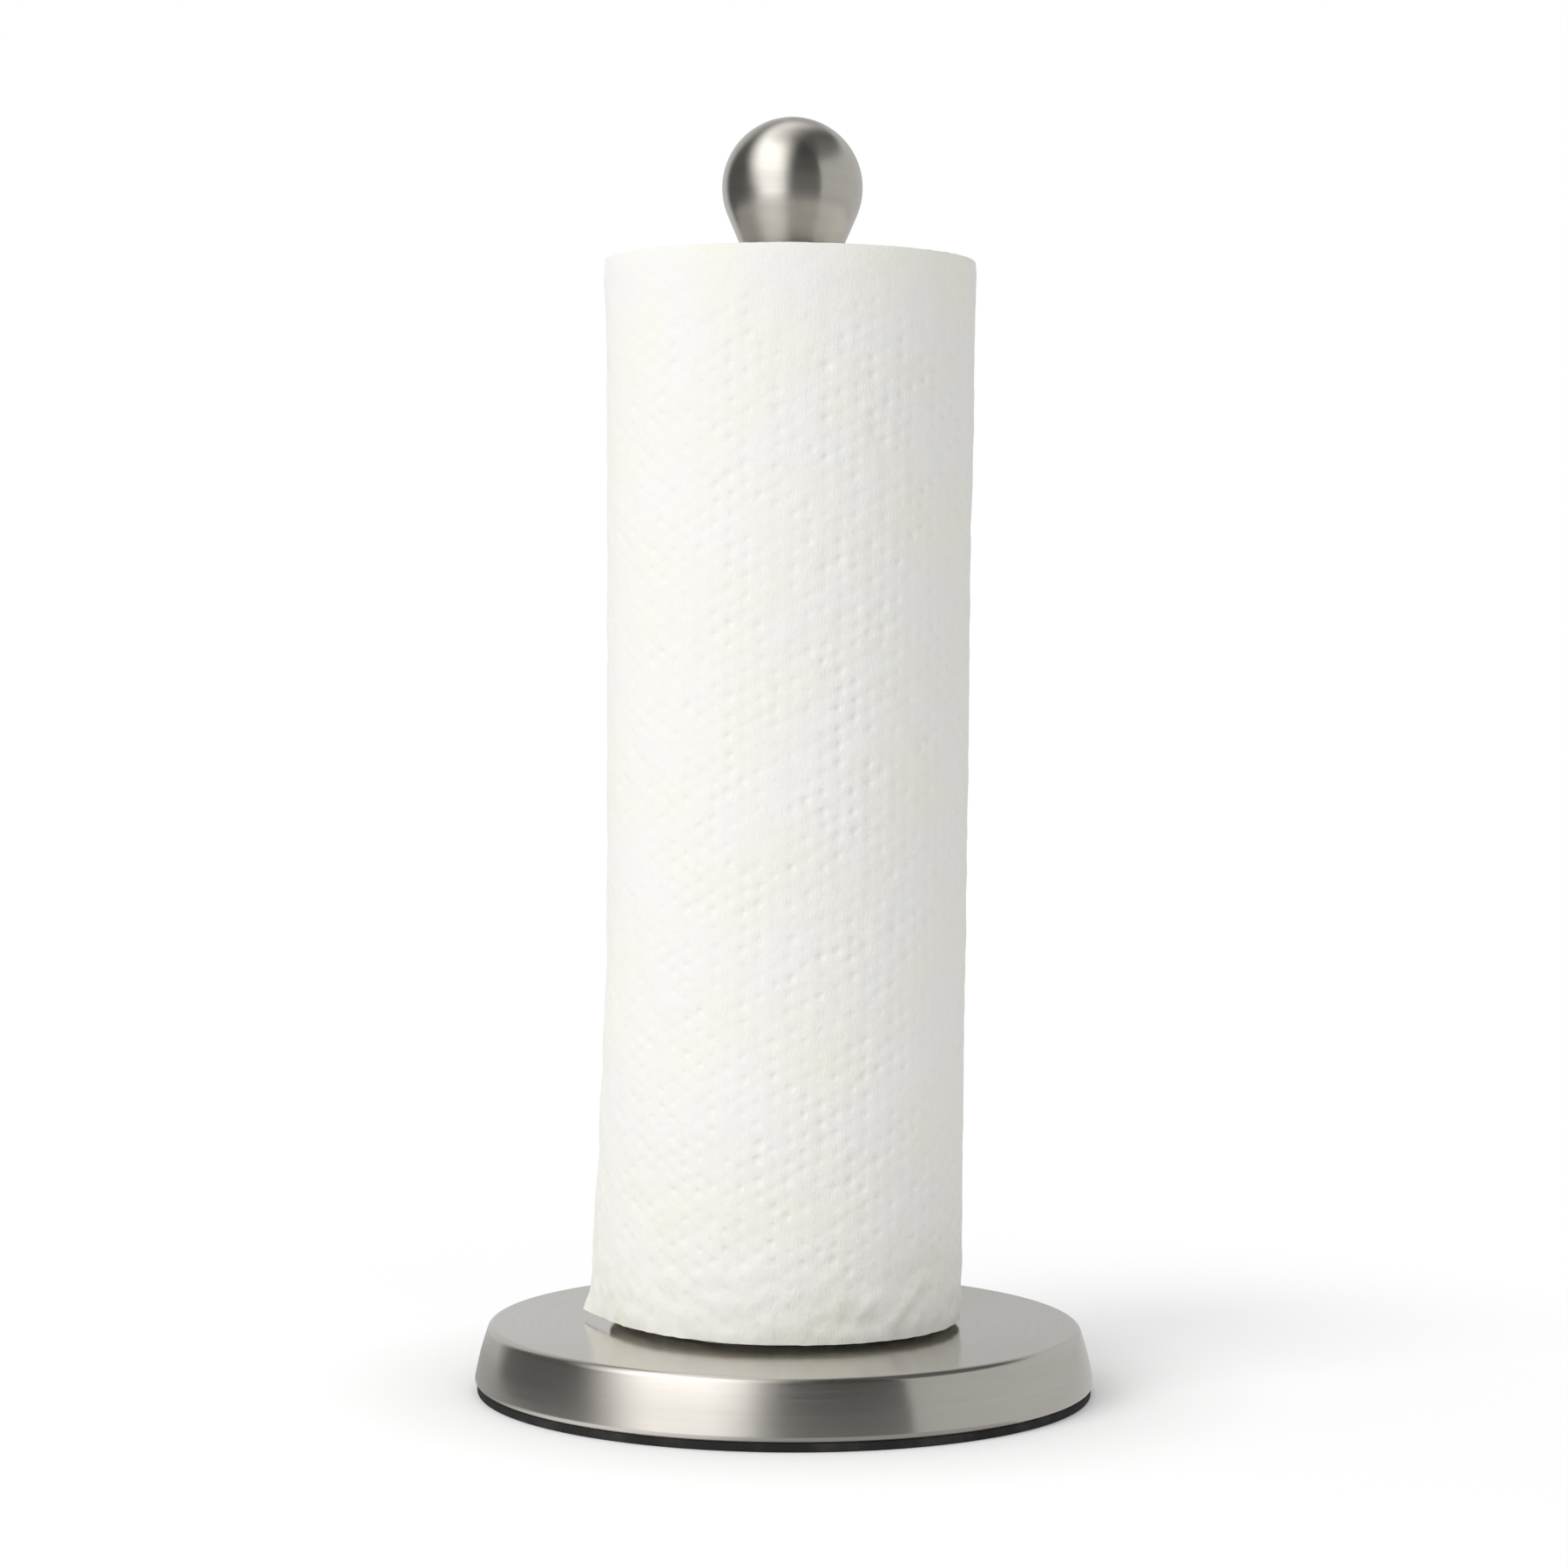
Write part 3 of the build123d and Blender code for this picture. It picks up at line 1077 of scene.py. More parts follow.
def edge_of_points(columns: np.ndarray, rows: np.ndarray) -> np.ndarray:
    """Points round a flat rectangle's edge.

    Args:
        columns: Distances along the bottom and the top, ends included.
        rows: Heights up the sides, ends included.

    Returns:
        The points along the bottom, up the far side, back along the top and down.
    """
    bottom = [(across, rows[0]) for across in columns]
    far = [(columns[-1], up) for up in rows[1:-1]]
    top = [(across, rows[-1]) for across in columns[::-1]]
    near = [(columns[0], up) for up in rows[-2:0:-1]]
    return np.array(bottom + far + top + near)


@dataclass(frozen=True)
class Crease:
    """A fold or a soft dint in the outer sheet, between two places on it.

    A place is an angle about the post from the front towards the right, in degrees, and a height above the
    sheet's lower edge. A fold stands up on one side and sinks on the other, and a dint only sinks.
    """

    start: Point
    end: Point
    width: float
    depth: float
    fold: bool = True


@dataclass
class Winding:
    """How the paper lies: a spiral, clockwise from the seam seen from above, with a loose end."""

    foot: float
    sheet_width: float = 0.2794
    sheet_length: float = 0.2794
    thickness: float = 0.00055
    ply_gap: float = 0.00005
    radius: float = 0.0474
    bore: float = 0.0218
    telescope: float = 0.0015
    tail_length: float = 0.027
    tail_leaves_at: float = math.radians(203)
    flare_height: float = 0.110
    curl: float = 0.465
    curl_power: float = 1.35
    flick: float = 0.355
    flick_power: float = 26.0
    foot_draw: float = 0.00033
    top_draw: float = 0.00070
    top_tilt: float = 0.85
    hang: float = 0.9
    hang_length: float = 0.03
    pitch: float = field(init=False)
    wrap_length: float = field(init=False)
    leaves: float = field(init=False)
    seam: float = field(init=False)

    def __post_init__(self) -> None:
        """Works out the turns' pitch, the length and angle that lie on the roll, and the seam's angle."""
        self.pitch = self.thickness + self.ply_gap
        self.wrap_length = self.sheet_length - self.tail_length
        self.leaves = self.wrap_length / (self.radius + self.pitch)
        self.seam = self.tail_leaves_at + self.leaves

    def around(self, degrees_right: float) -> float:
        """Distance along the sheet at an angle from the front towards the right, in degrees."""
        angle = math.radians(degrees_right) - math.pi / 2
        return ((self.seam - angle) % TURN) * (self.radius + self.pitch)

    def to_rim(self, up: np.ndarray) -> np.ndarray:
        """Distances from the nearer rim, at distances from the paper's lower edge."""
        return np.minimum(up, self.sheet_width - up)

    def on_turn(self, turned_by: np.ndarray, out: np.ndarray) -> tuple[np.ndarray, np.ndarray]:
        """Places on the spiral that the last turn starts.

        Args:
            turned_by: Angles clockwise from the seam.
            out: Distances outwards from the spiral.

        Returns:
            Their X and Y.
        """
        reach = self.radius + self.pitch * turned_by / TURN + out
        return reach * np.cos(self.seam - turned_by), reach * np.sin(self.seam - turned_by)

    def foot_rise(self, turned_by: np.ndarray) -> np.ndarray:
        """How far the lower rim is drawn up at angles clockwise from the seam: least at the right."""
        return self.foot_draw * (1 - np.cos(self.seam - turned_by))

    def top_drop(self, turned_by: np.ndarray) -> np.ndarray:
        """How far the upper rim is drawn down at angles clockwise from the seam: least at the front."""
        return self.top_draw * (1 + self.top_tilt * np.sin(self.seam - turned_by))

    def height(self, turned_by: np.ndarray, up: np.ndarray) -> np.ndarray:
        """Heights of places on the paper, whose soft rims are drawn in a little.

        Args:
            turned_by: Angles clockwise from the seam.
            up: Distances from the paper's lower edge.

        Returns:
            Their Z.
        """
        share = up / self.sheet_width
        loose = ease(turned_by * self.radius, self.wrap_length - self.hang_length, self.sheet_length)
        rise = self.foot_rise(turned_by) * (1 - self.hang * loose)
        return self.foot + up + rise * (1 - share) - self.top_drop(turned_by) * share

    def on_sheet(self, across: np.ndarray, up: np.ndarray, lift: np.ndarray) -> np.ndarray:
        """Places on the outer sheet, whose loose end has lost part of its curve towards the bottom.

        Args:
            across: Distances along the sheet from the seam.
            up: Heights above its lower edge.
            lift: Distances outwards from its inner face.

        Returns:
            One row of X, Y and Z for each place.
        """
        turned_by = across / (self.radius + self.pitch)
        x, y = self.on_turn(turned_by, self.ply_gap + lift)
        share = np.clip(1 - up / self.flare_height, 0, 1)
        flare = self.curl * share**self.curl_power + self.flick * share**self.flick_power
        tight = self.radius + self.pitch * self.leaves / TURN + self.ply_gap
        loose = tight / (1 - flare)
        past = np.maximum(across - self.wrap_length, 0)
        swing = self.tail_leaves_at - past / (loose + self.thickness)
        growth = self.pitch * np.maximum(turned_by - self.leaves, 0) / TURN
        reach = loose + lift + growth
        tail_x = (tight - loose) * math.cos(self.tail_leaves_at) + reach * np.cos(swing)
        tail_y = (tight - loose) * math.sin(self.tail_leaves_at) + reach * np.sin(swing)
        is_tail = across > self.wrap_length
        z = self.height(turned_by, up)
        return np.column_stack([np.where(is_tail, tail_x, x), np.where(is_tail, tail_y, y), z])


def paper_mesh(
    name: str, places: np.ndarray, faces: Sequence[Sequence[int]], flat: np.ndarray, dents: np.ndarray
) -> bpy.types.Object:
    """Makes a paper piece from its points and faces, with its flat map and its dents marked.

    Args:
        name: Name of the piece.
        places: Its points.
        faces: Its faces, as point numbers.
        flat: Place of each point on the flat sheet.
        dents: How deep each point lies in a dent, 0 to 1.

    Returns:
        The piece, with its faces outwards.
    """
    mesh = bpy.data.meshes.new(name)
    mesh.from_pydata(places.tolist(), [], [list(map(int, face)) for face in faces])
    piece = bpy.data.objects.new(name, mesh)
    bpy.context.scene.collection.objects.link(piece)
    corners = np.zeros(len(mesh.loops), np.int32)
    mesh.loops.foreach_get("vertex_index", corners)
    layer = mesh.uv_layers.new(name=SHEET_MAP)
    layer.data.foreach_set("uv", flat[corners].astype(np.float32).ravel())
    mark = mesh.attributes.new(DENT_MARK, "FLOAT", "POINT")
    mark.data.foreach_set("value", dents.astype(np.float32))
    activate(piece)
    bpy.ops.object.mode_set(mode="EDIT")
    bpy.ops.mesh.select_all(action="SELECT")
    bpy.ops.mesh.normals_make_consistent(inside=False)
    bpy.ops.object.mode_set(mode="OBJECT")
    smooth(piece, PAPER_SMOOTH_UP_TO)
    return piece


@dataclass
class Roll:
    """The paper roll: a board core, the wound turns and the outer sheet with its loose end.

    A press is a share of the dents' depth, and a reach is where something starts and ends, in metres from a
    rim, the loose end or the seam.
    """

    core_wall: float = 0.0009
    core_edge: float = 0.00015
    emboss: Emboss = field(default_factory=Emboss)
    swell: Ripple = Ripple(0.00010, 0.028, 0.075, seed=3)
    pillow: Ripple = Ripple(0.00006, 0.006, 0.013, seed=5)
    crumple: Ripple = Ripple(0.00010, 0.004, 0.009, seed=9)
    press: Ripple = Ripple(0.22, 0.012, 0.045, seed=17)
    ragged: Ripple = Ripple(0.00005, 0.002, 0.009, seed=21)
    loose_wave: Ripple = Ripple(0.00025, 0.025, 0.06, seed=27)
    press_mean: float = 0.85
    press_limits: Point = (0.25, 1.1)
    rim_press: float = 0.15
    rim_reach: Point = (0.0048, 0.032)
    end_press: float = 0.4
    end_reach: Point = (0.0124, 0.062)
    top_spread: float = 0.0003
    top_spread_height: float = 0.050
    taper: float = 0.0015
    waist: float = 0.0002
    crumple_height: float = 0.030
    crumpled_share: float = 0.2
    loose_lead: float = 0.01
    free_share: float = 0.3
    rim_margin: float = 0.0024
    rim_tuck: float = 0.00035
    edge_step: float = 0.0014
    field_step: float = 0.0026
    fine_step: float = 0.0015
    coarse_step: float = 0.009
    sunk: float = 0.0011
    sunk_reach: Point = (0.002, 0.008)
    seam_margin: float = 0.004
    bare_lead: float = 0.25
    bare_reach: Point = (0.30, 0.05)
    bare_pillow: float = 0.5
    pillow_margin: float = 0.003
    tooth: float = 0.00045
    tooth_pitch: float = 0.0052
    cut_depth: float = 0.6
    cut_width: float = 0.36
    segments: int = 180
    end_groove: float = 0.00028
    end_uneven: float = 0.00014
    end_waves: Point = (0.002, 0.012)
    end_stretch: float = 0.25
    end_rim: float = 0.93
    creases: tuple[Crease, ...] = (
        Crease((50, 0.0125), (38, 0.0035), 0.0020, 0.00035),
        Crease((57, 0.0165), (42, 0.0150), 0.0048, 0.00045, fold=False),
        Crease((-16, 0.0270), (-13, 0.0215), 0.0030, 0.00045, fold=False),
        Crease((30, 0.0060), (14, 0.0095), 0.0026, 0.00022),
    )
    winding: Winding = field(init=False)

    def build(self) -> None:
        """Makes the core, the turns and the outer sheet."""
        core = turned_tube("board_core", "roll_core", self.core_wall, self.core_edge)
        fit(core, CoreBoard("spiral_board", Slot.CORE_BOARD), Body.CORE, "roll_core")
        paper = TowelPaper("creped_paper", Slot.TOWEL_PAPER)
        self.winding = winding = Winding(foot=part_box("outer_sheet")[0].z)
        turns = fit(self._turns(), paper, Body.PAPER, "wound_paper")
        sheet = fit(self._sheet(), paper, Body.PAPER, "outer_sheet")

    def _pressed(self, across: np.ndarray, up: np.ndarray) -> np.ndarray:
        """How deep the dents are pressed, weaker towards the rims and the handled loose end.

        Args:
            across: Distances along the sheet.
            up: Heights above its lower edge.

        Returns:
            The depth at each place as a share of the full depth.
        """
        to_end = self.winding.sheet_length - across
        by_rim = self.rim_press + (1 - self.rim_press) * ease(self.winding.to_rim(up), *self.rim_reach)
        by_end = self.end_press + (1 - self.end_press) * ease(to_end, *self.end_reach)
        return np.clip(self.press_mean + self.press.at(across, up), *self.press_limits) * by_rim * by_end

    def _spread(self, up: np.ndarray) -> np.ndarray:
        """How far the outer turns stand out, slack at the top and tight below.

        Args:
            up: Heights up the roll.

        Returns:
            The distance at each height.
        """
        width = self.winding.sheet_width
        share = up / width
        slack = self.top_spread * ease(up, width - self.top_spread_height, width)
        return slack - self.taper * (1 - share) - self.waist * 4 * share * (1 - share)

    def _body_lift(self, across: np.ndarray, up: np.ndarray) -> np.ndarray:
        """How far the sheet stands off the turns below, folds and dints included.

        Args:
            across: Distances along the sheet.
            up: Heights above its lower edge.

        Returns:
            The distance at each place.
        """
        winding = self.winding
        lift = np.maximum(self.swell.depth + self.swell.at(across, up), 0)
        past = ease(across, winding.wrap_length - self.loose_lead, winding.sheet_length)
        free = past * ease(up, winding.flare_height, self.free_share * winding.flare_height)
        lift += self._spread(up) * (1 - free)
        low_share = ease(up, self.crumple_height, self.crumpled_share * self.crumple_height)
        lift += low_share * self.crumple.at(across, up)
        lift += past * np.abs(self.loose_wave.at(across, up))
        for crease in self.creases:
            lift += self._crease_lift(crease, across, up)
        return lift - self.rim_tuck * ease(winding.to_rim(up), self.rim_margin, 0)

    def _crease_lift(self, crease: Crease, across: np.ndarray, up: np.ndarray) -> np.ndarray:
        """How far one crease lifts or sinks the sheet.

        Args:
            crease: The crease.
            across: Distances along the sheet.
            up: Heights above its lower edge.

        Returns:
            The distance at each place.
        """
        places = (crease.start, crease.end)
        start, end = (np.array([self.winding.around(bearing), height]) for bearing, height in places)
        length = np.linalg.norm(end - start)
        along = (end - start) / length
        offset = np.column_stack([across, up]) - start
        run = offset @ along
        aside = (offset @ np.array([-along[1], along[0]])) / crease.width
        beyond = np.maximum(np.maximum(-run, run - length), 0) / crease.width
        fade = np.exp(-(beyond**2))
        if crease.fold:
            return crease.depth * aside * np.exp(0.5 - aside**2 / 2) * fade
        return -crease.depth * np.exp(-(aside**2)) * fade

    def _sheet(self) -> bpy.types.Object:
        """Makes the outer sheet: an embossed outer face, an inner face and the cut edge between them.

        Returns:
            The sheet.
        """
        length, width, wrap = self.winding.sheet_length, self.winding.sheet_width, self.winding.wrap_length
        columns = np.linspace(0, length, round(length / self.edge_step) + 1)
        rows = np.linspace(0, width, round(width / self.edge_step) + 1)
        edge = edge_of_points(columns, rows)
        margin = 2 * self.emboss.radius
        laid = self.emboss.dents(margin, length - margin, margin, width - margin)
        body = field_of_points(0, length, width, self.field_step, seed=31)
        body = body[body[:, 1] > self.crumple_height]
        foot = field_of_points(0, length, self.crumple_height, self.fine_step, seed=37)
        outer = Net.cut(edge, laid, self.emboss, [body, foot])
        loose = field_of_points(wrap, length, width, self.field_step, seed=33)
        bound = field_of_points(0, wrap, width, self.coarse_step, seed=35)
        inner = Net.cut(edge, laid[laid[:, 0] > wrap], self.emboss, [loose, bound])
        outside, inside = self._sheet_face(outer, self.winding.thickness), self._sheet_face(inner, 0.0)
        shift = len(outer.points)
        loop = list(range(len(edge)))
        rim = [(a, b, b + shift, a + shift) for a, b in zip(loop, loop[1:] + loop[:1])]
        return paper_mesh(
            "outer_towel",
            np.concatenate([outside, inside]),
            [*outer.faces, *(inner.faces[:, ::-1] + shift), *rim],
            np.concatenate([outer.points, inner.points]),
            np.concatenate([outer.dents, inner.dents]),
        )

    def _sheet_face(self, net: Net, height: float) -> np.ndarray:
        """Lays one face of the outer sheet on the roll.

        Args:
            net: The face, flat.
            height: Its distance from the sheet's inner face.

        Returns:
            Where its points lie.
        """
        across, up = net.points.T
        lift = height + self._body_lift(across, up) + self.pillow.at(across, up) * (height > 0)
        lift -= self.emboss.depth * net.dents * self._pressed(across, up)
        at_rim = ease(self.winding.to_rim(up), self.rim_margin, 0)
        at_end = ease(self.winding.sheet_length - across, self.rim_margin, 0)
        wavy = up + self.ragged.at(across, np.zeros_like(up)) * at_rim
        beat = np.abs((up / self.tooth_pitch) % 1 - 0.5)
        teeth = self.tooth * beat * 2
        cuts = self.tooth * self.cut_depth * (beat < self.cut_width)
        drawn = across - teeth * at_end + cuts * ease(across, self.rim_margin, 0)
        return self.winding.on_sheet(drawn, wavy, lift)

    def _turns(self) -> bpy.types.Object:
        """Makes the turns under the outer sheet: spiral ends, an embossed outer face and the bore.

        Returns:
            The turns.
        """
        layers = round((self.winding.radius - self.winding.bore) / self.winding.pitch)
        rows, count = 2 * layers, self.segments + 1
        top, bottom = (SpiralEnd(self, layers, upper) for upper in (True, False))
        net = self._turns_net()
        places = [top.places(), bottom.places(), self._turns_face(net)]
        shift = len(places[0])
        start = 2 * shift
        faces = top.faces() + [[index + shift for index in face[::-1]] for face in bottom.faces()]
        bore = [(top.bore(column), top.bore(column + 1)) for column in range(self.segments)]
        faces += [[a, b, b + shift, a + shift] for a, b in bore]
        side = len(self._side_rows()) - 2
        joined = {start + column: shift + bottom.site(column, rows) for column in range(count)}
        first_top = start + count + side
        joined |= {first_top + self.segments - column: top.site(column, rows) for column in range(count)}
        faces += [[joined.get(index, index) for index in face] for face in (net.faces + start).tolist()]
        faces += self._step(top, bottom, shift, side)
        flat = np.concatenate([top.flat(), bottom.flat(), net.points])
        dents = np.concatenate([np.zeros(start), net.dents])
        return paper_mesh("wound_turns", np.concatenate(places), faces, flat, dents)

    def _side_rows(self) -> np.ndarray:
        """Heights of the points up the seam's step."""
        width = self.winding.sheet_width
        return np.linspace(0, width, round(width / (2 * self.edge_step)) + 1)

    def _turns_net(self) -> Net:
        """Cuts the outer face of the turns, embossed only where the outer sheet leaves it bare.

        Returns:
            The face, flat.
        """
        radius, width = self.winding.radius, self.winding.sheet_width
        girth = radius * TURN
        bare = radius * (self.winding.leaves - self.bare_lead)
        margin = 2 * self.emboss.radius
        laid = self.emboss.dents(bare, girth - margin, margin, width - margin)
        fine = field_of_points(bare, girth, width, self.field_step, seed=41)
        coarse = field_of_points(0, bare, width, self.coarse_step, seed=43)
        edge = edge_of_points(np.linspace(0, girth, self.segments + 1), self._side_rows())
        return Net.cut(edge, laid, self.emboss, [fine, coarse])

    def _turns_face(self, net: Net) -> np.ndarray:
        """Lays the outer face of the turns, sunk where the outer sheet hides it.

        Args:
            net: The face, flat.

        Returns:
            Where its points lie.
        """
        winding = self.winding
        across, up = net.points.T
        turned_by = across / winding.radius
        to_rim = winding.to_rim(up)
        first, last = (winding.leaves - reach for reach in self.bare_reach)
        exposed = ease(turned_by, first, last)
        hidden = np.clip(1 - exposed - ease(across, self.seam_margin, 0), 0, 1)
        out = -self.sunk * hidden * ease(to_rim, *self.sunk_reach)
        out = out - self.emboss.depth * net.dents * self._pressed(across, up)
        swollen = exposed * ease(to_rim, 0, self.pillow_margin)
        out = out + self.bare_pillow * self.pillow.at(across, up) * swollen
        x, y = winding.on_turn(turned_by, out + self._spread(up))
        return np.column_stack([x, y, winding.height(turned_by, up)])

    def _step(self, top: SpiralEnd, bottom: SpiralEnd, shift: int, side: int) -> Faces:
        """Closes the step at the seam, where the last turn ends above the one below it.

        Args:
            top: The upper end.
            bottom: The lower end.
            shift: Points of one end.
            side: Points up the step, its ends left out.

        Returns:
            The faces.
        """
        start, count, rows = 2 * shift, self.segments + 1, 2 * top.layers
        high = [start + count + index for index in range(side)]
        low = [start + 2 * count + side + index for index in range(side)][::-1]
        bottom_run = [shift + bottom.site(self.segments, row) for row in range(rows - 2, rows + 1)]
        top_run = [top.site(self.segments, row) for row in range(rows - 2, rows + 1)]
        faces = [[*bottom_run, high[0], low[0]]]
        faces += [[low[i], high[i], high[i + 1], low[i + 1]] for i in range(side - 1)]
        return faces + [[low[-1], high[-1], *top_run[::-1]]]


@dataclass
class SpiralEnd:
    """One end of the wound turns: the cut edges of the paper, one spiral from the bore to the rim.

    Each layer has a groove and a crown. Column 0 and the last column both lie on the seam, where a layer runs
    on into the next.
    """

    roll: Roll
    layers: int
    upper: bool
    seed: int = 51

    def site(self, column: int, row: int) -> int:
        """Number of the point in a column and a row, with the last column joined to the first.

        Args:
            column: The column.
            row: The row.

        Returns:
            The number.
        """
        rows, last = 2 * self.layers, self.roll.segments
        if column < last:
            return column * (rows + 1) + row
        if row <= rows - 2:
            return row + 2
        return last * (rows + 1) + row - (rows - 1)

    def bore(self, column: int) -> int:
        """Number of the point on the bore in a column. On the seam the spiral itself starts there."""
        spiral_points = self.roll.segments * (2 * self.layers + 1) + 2
        return 0 if column % self.roll.segments == 0 else spiral_points + column - 1

    def places(self) -> np.ndarray:
        """Places of all points, telescoped so that the outer turns stand out.

        Returns:
            One row of X, Y and Z for each point.
        """
        roll, winding, flat = self.roll, self.roll.winding, self.flat()
        reach, angle = np.linalg.norm(flat, axis=1), np.arctan2(flat[:, 1], flat[:, 0])
        share = np.clip((reach - winding.bore) / (winding.radius - winding.bore), 0, 1)
        uneven = Ripple(roll.end_uneven, *roll.end_waves, seed=self.seed + self.upper)
        relief = uneven.at(reach, roll.end_stretch * angle * reach) * ease(share, 1, roll.end_rim)
        sunk = winding.telescope * (1 - share) + roll.end_groove * self._grooves() + relief
        level = winding.foot + winding.sheet_width - winding.top_drop(winding.seam - angle) * share
        if not self.upper:
            level = winding.foot + winding.foot_rise(winding.seam - angle) * share
        return np.column_stack([flat, level - sunk])

    def _grooves(self) -> np.ndarray:
        """Marks the grooves between layers, which go into the roll from either end.

        Returns:
            1 or -1 for each point in a groove, 0 on a crown or the rim.
        """
        rows = 2 * self.layers
        row = np.tile(np.arange(rows + 1), self.roll.segments)
        spiral = np.where((row % 2 == 0) & (row < rows - 1), 1.0, 0.0)
        rest = np.zeros(2 + self.roll.segments - 1)
        return (1 if self.upper else -1) * np.concatenate([spiral, rest])

    def flat(self) -> np.ndarray:
        """X and Y of all points: the spiral's columns, the step at the seam and the bore.

        Returns:
            One row for each point.
        """
        winding, rows, count = self.roll.winding, 2 * self.layers, self.roll.segments
        column, row = np.divmod(np.arange(count * (rows + 1)), rows + 1)
        column = np.concatenate([column, [count] * 2])
        row = np.concatenate([row, [rows - 1, rows]])
        rim_spread = self.roll.top_spread if self.upper else -self.roll.taper
        out = (winding.radius - winding.bore) * (row / rows - 1) + rim_spread * (row / rows) ** 2
        spiral = winding.on_turn(TURN * column / count, out)
        angle = winding.seam - TURN * np.arange(1, count) / count
        bore = winding.bore * np.column_stack([np.cos(angle), np.sin(angle)])
        return np.concatenate([np.column_stack(spiral), bore])

    def faces(self) -> Faces:
        """Faces of the end, seen from above.

        Returns:
            The faces, as point numbers.
        """
        made, last = [], self.roll.segments
        for column in range(last):
            ahead = column + 1
            for row in range(2 * self.layers):
                near, far = self.site(column, row), self.site(ahead, row)
                made.append([near, far, self.site(ahead, row + 1), self.site(column, row + 1)])
            inner = [self.bore(column), self.bore(ahead)]
            start = [1, 2] if ahead == last else [self.site(ahead, 0)]
            made.append(inner + start + ([self.site(column, 0)] if column else []))
        return made


@dataclass(frozen=True)
class Side:
    """One side of a screen, in degrees: where it meets the horizon, its softness and how it leans overhead.

    A bearing is an angle from the front towards the right. A side with a lean goes over to the left overhead.
    """

    bearing: float
    soft: float
    lean: float = 0.0

    def normal(self) -> Corner:
        """Normal of the plane through the set that holds the side, towards the right."""
        bearing, lean = math.radians(self.bearing), math.radians(self.lean)
        return math.cos(bearing) * math.cos(lean), math.sin(bearing) * math.cos(lean), math.sin(lean)


@dataclass(frozen=True)
class Screen:
    """A lit or dark screen round the set, as the steel mirrors it.

    The stops give its levels at angles above the horizon, in degrees.
    """

    left: Side
    right: Side
    stops: tuple[Point, ...]


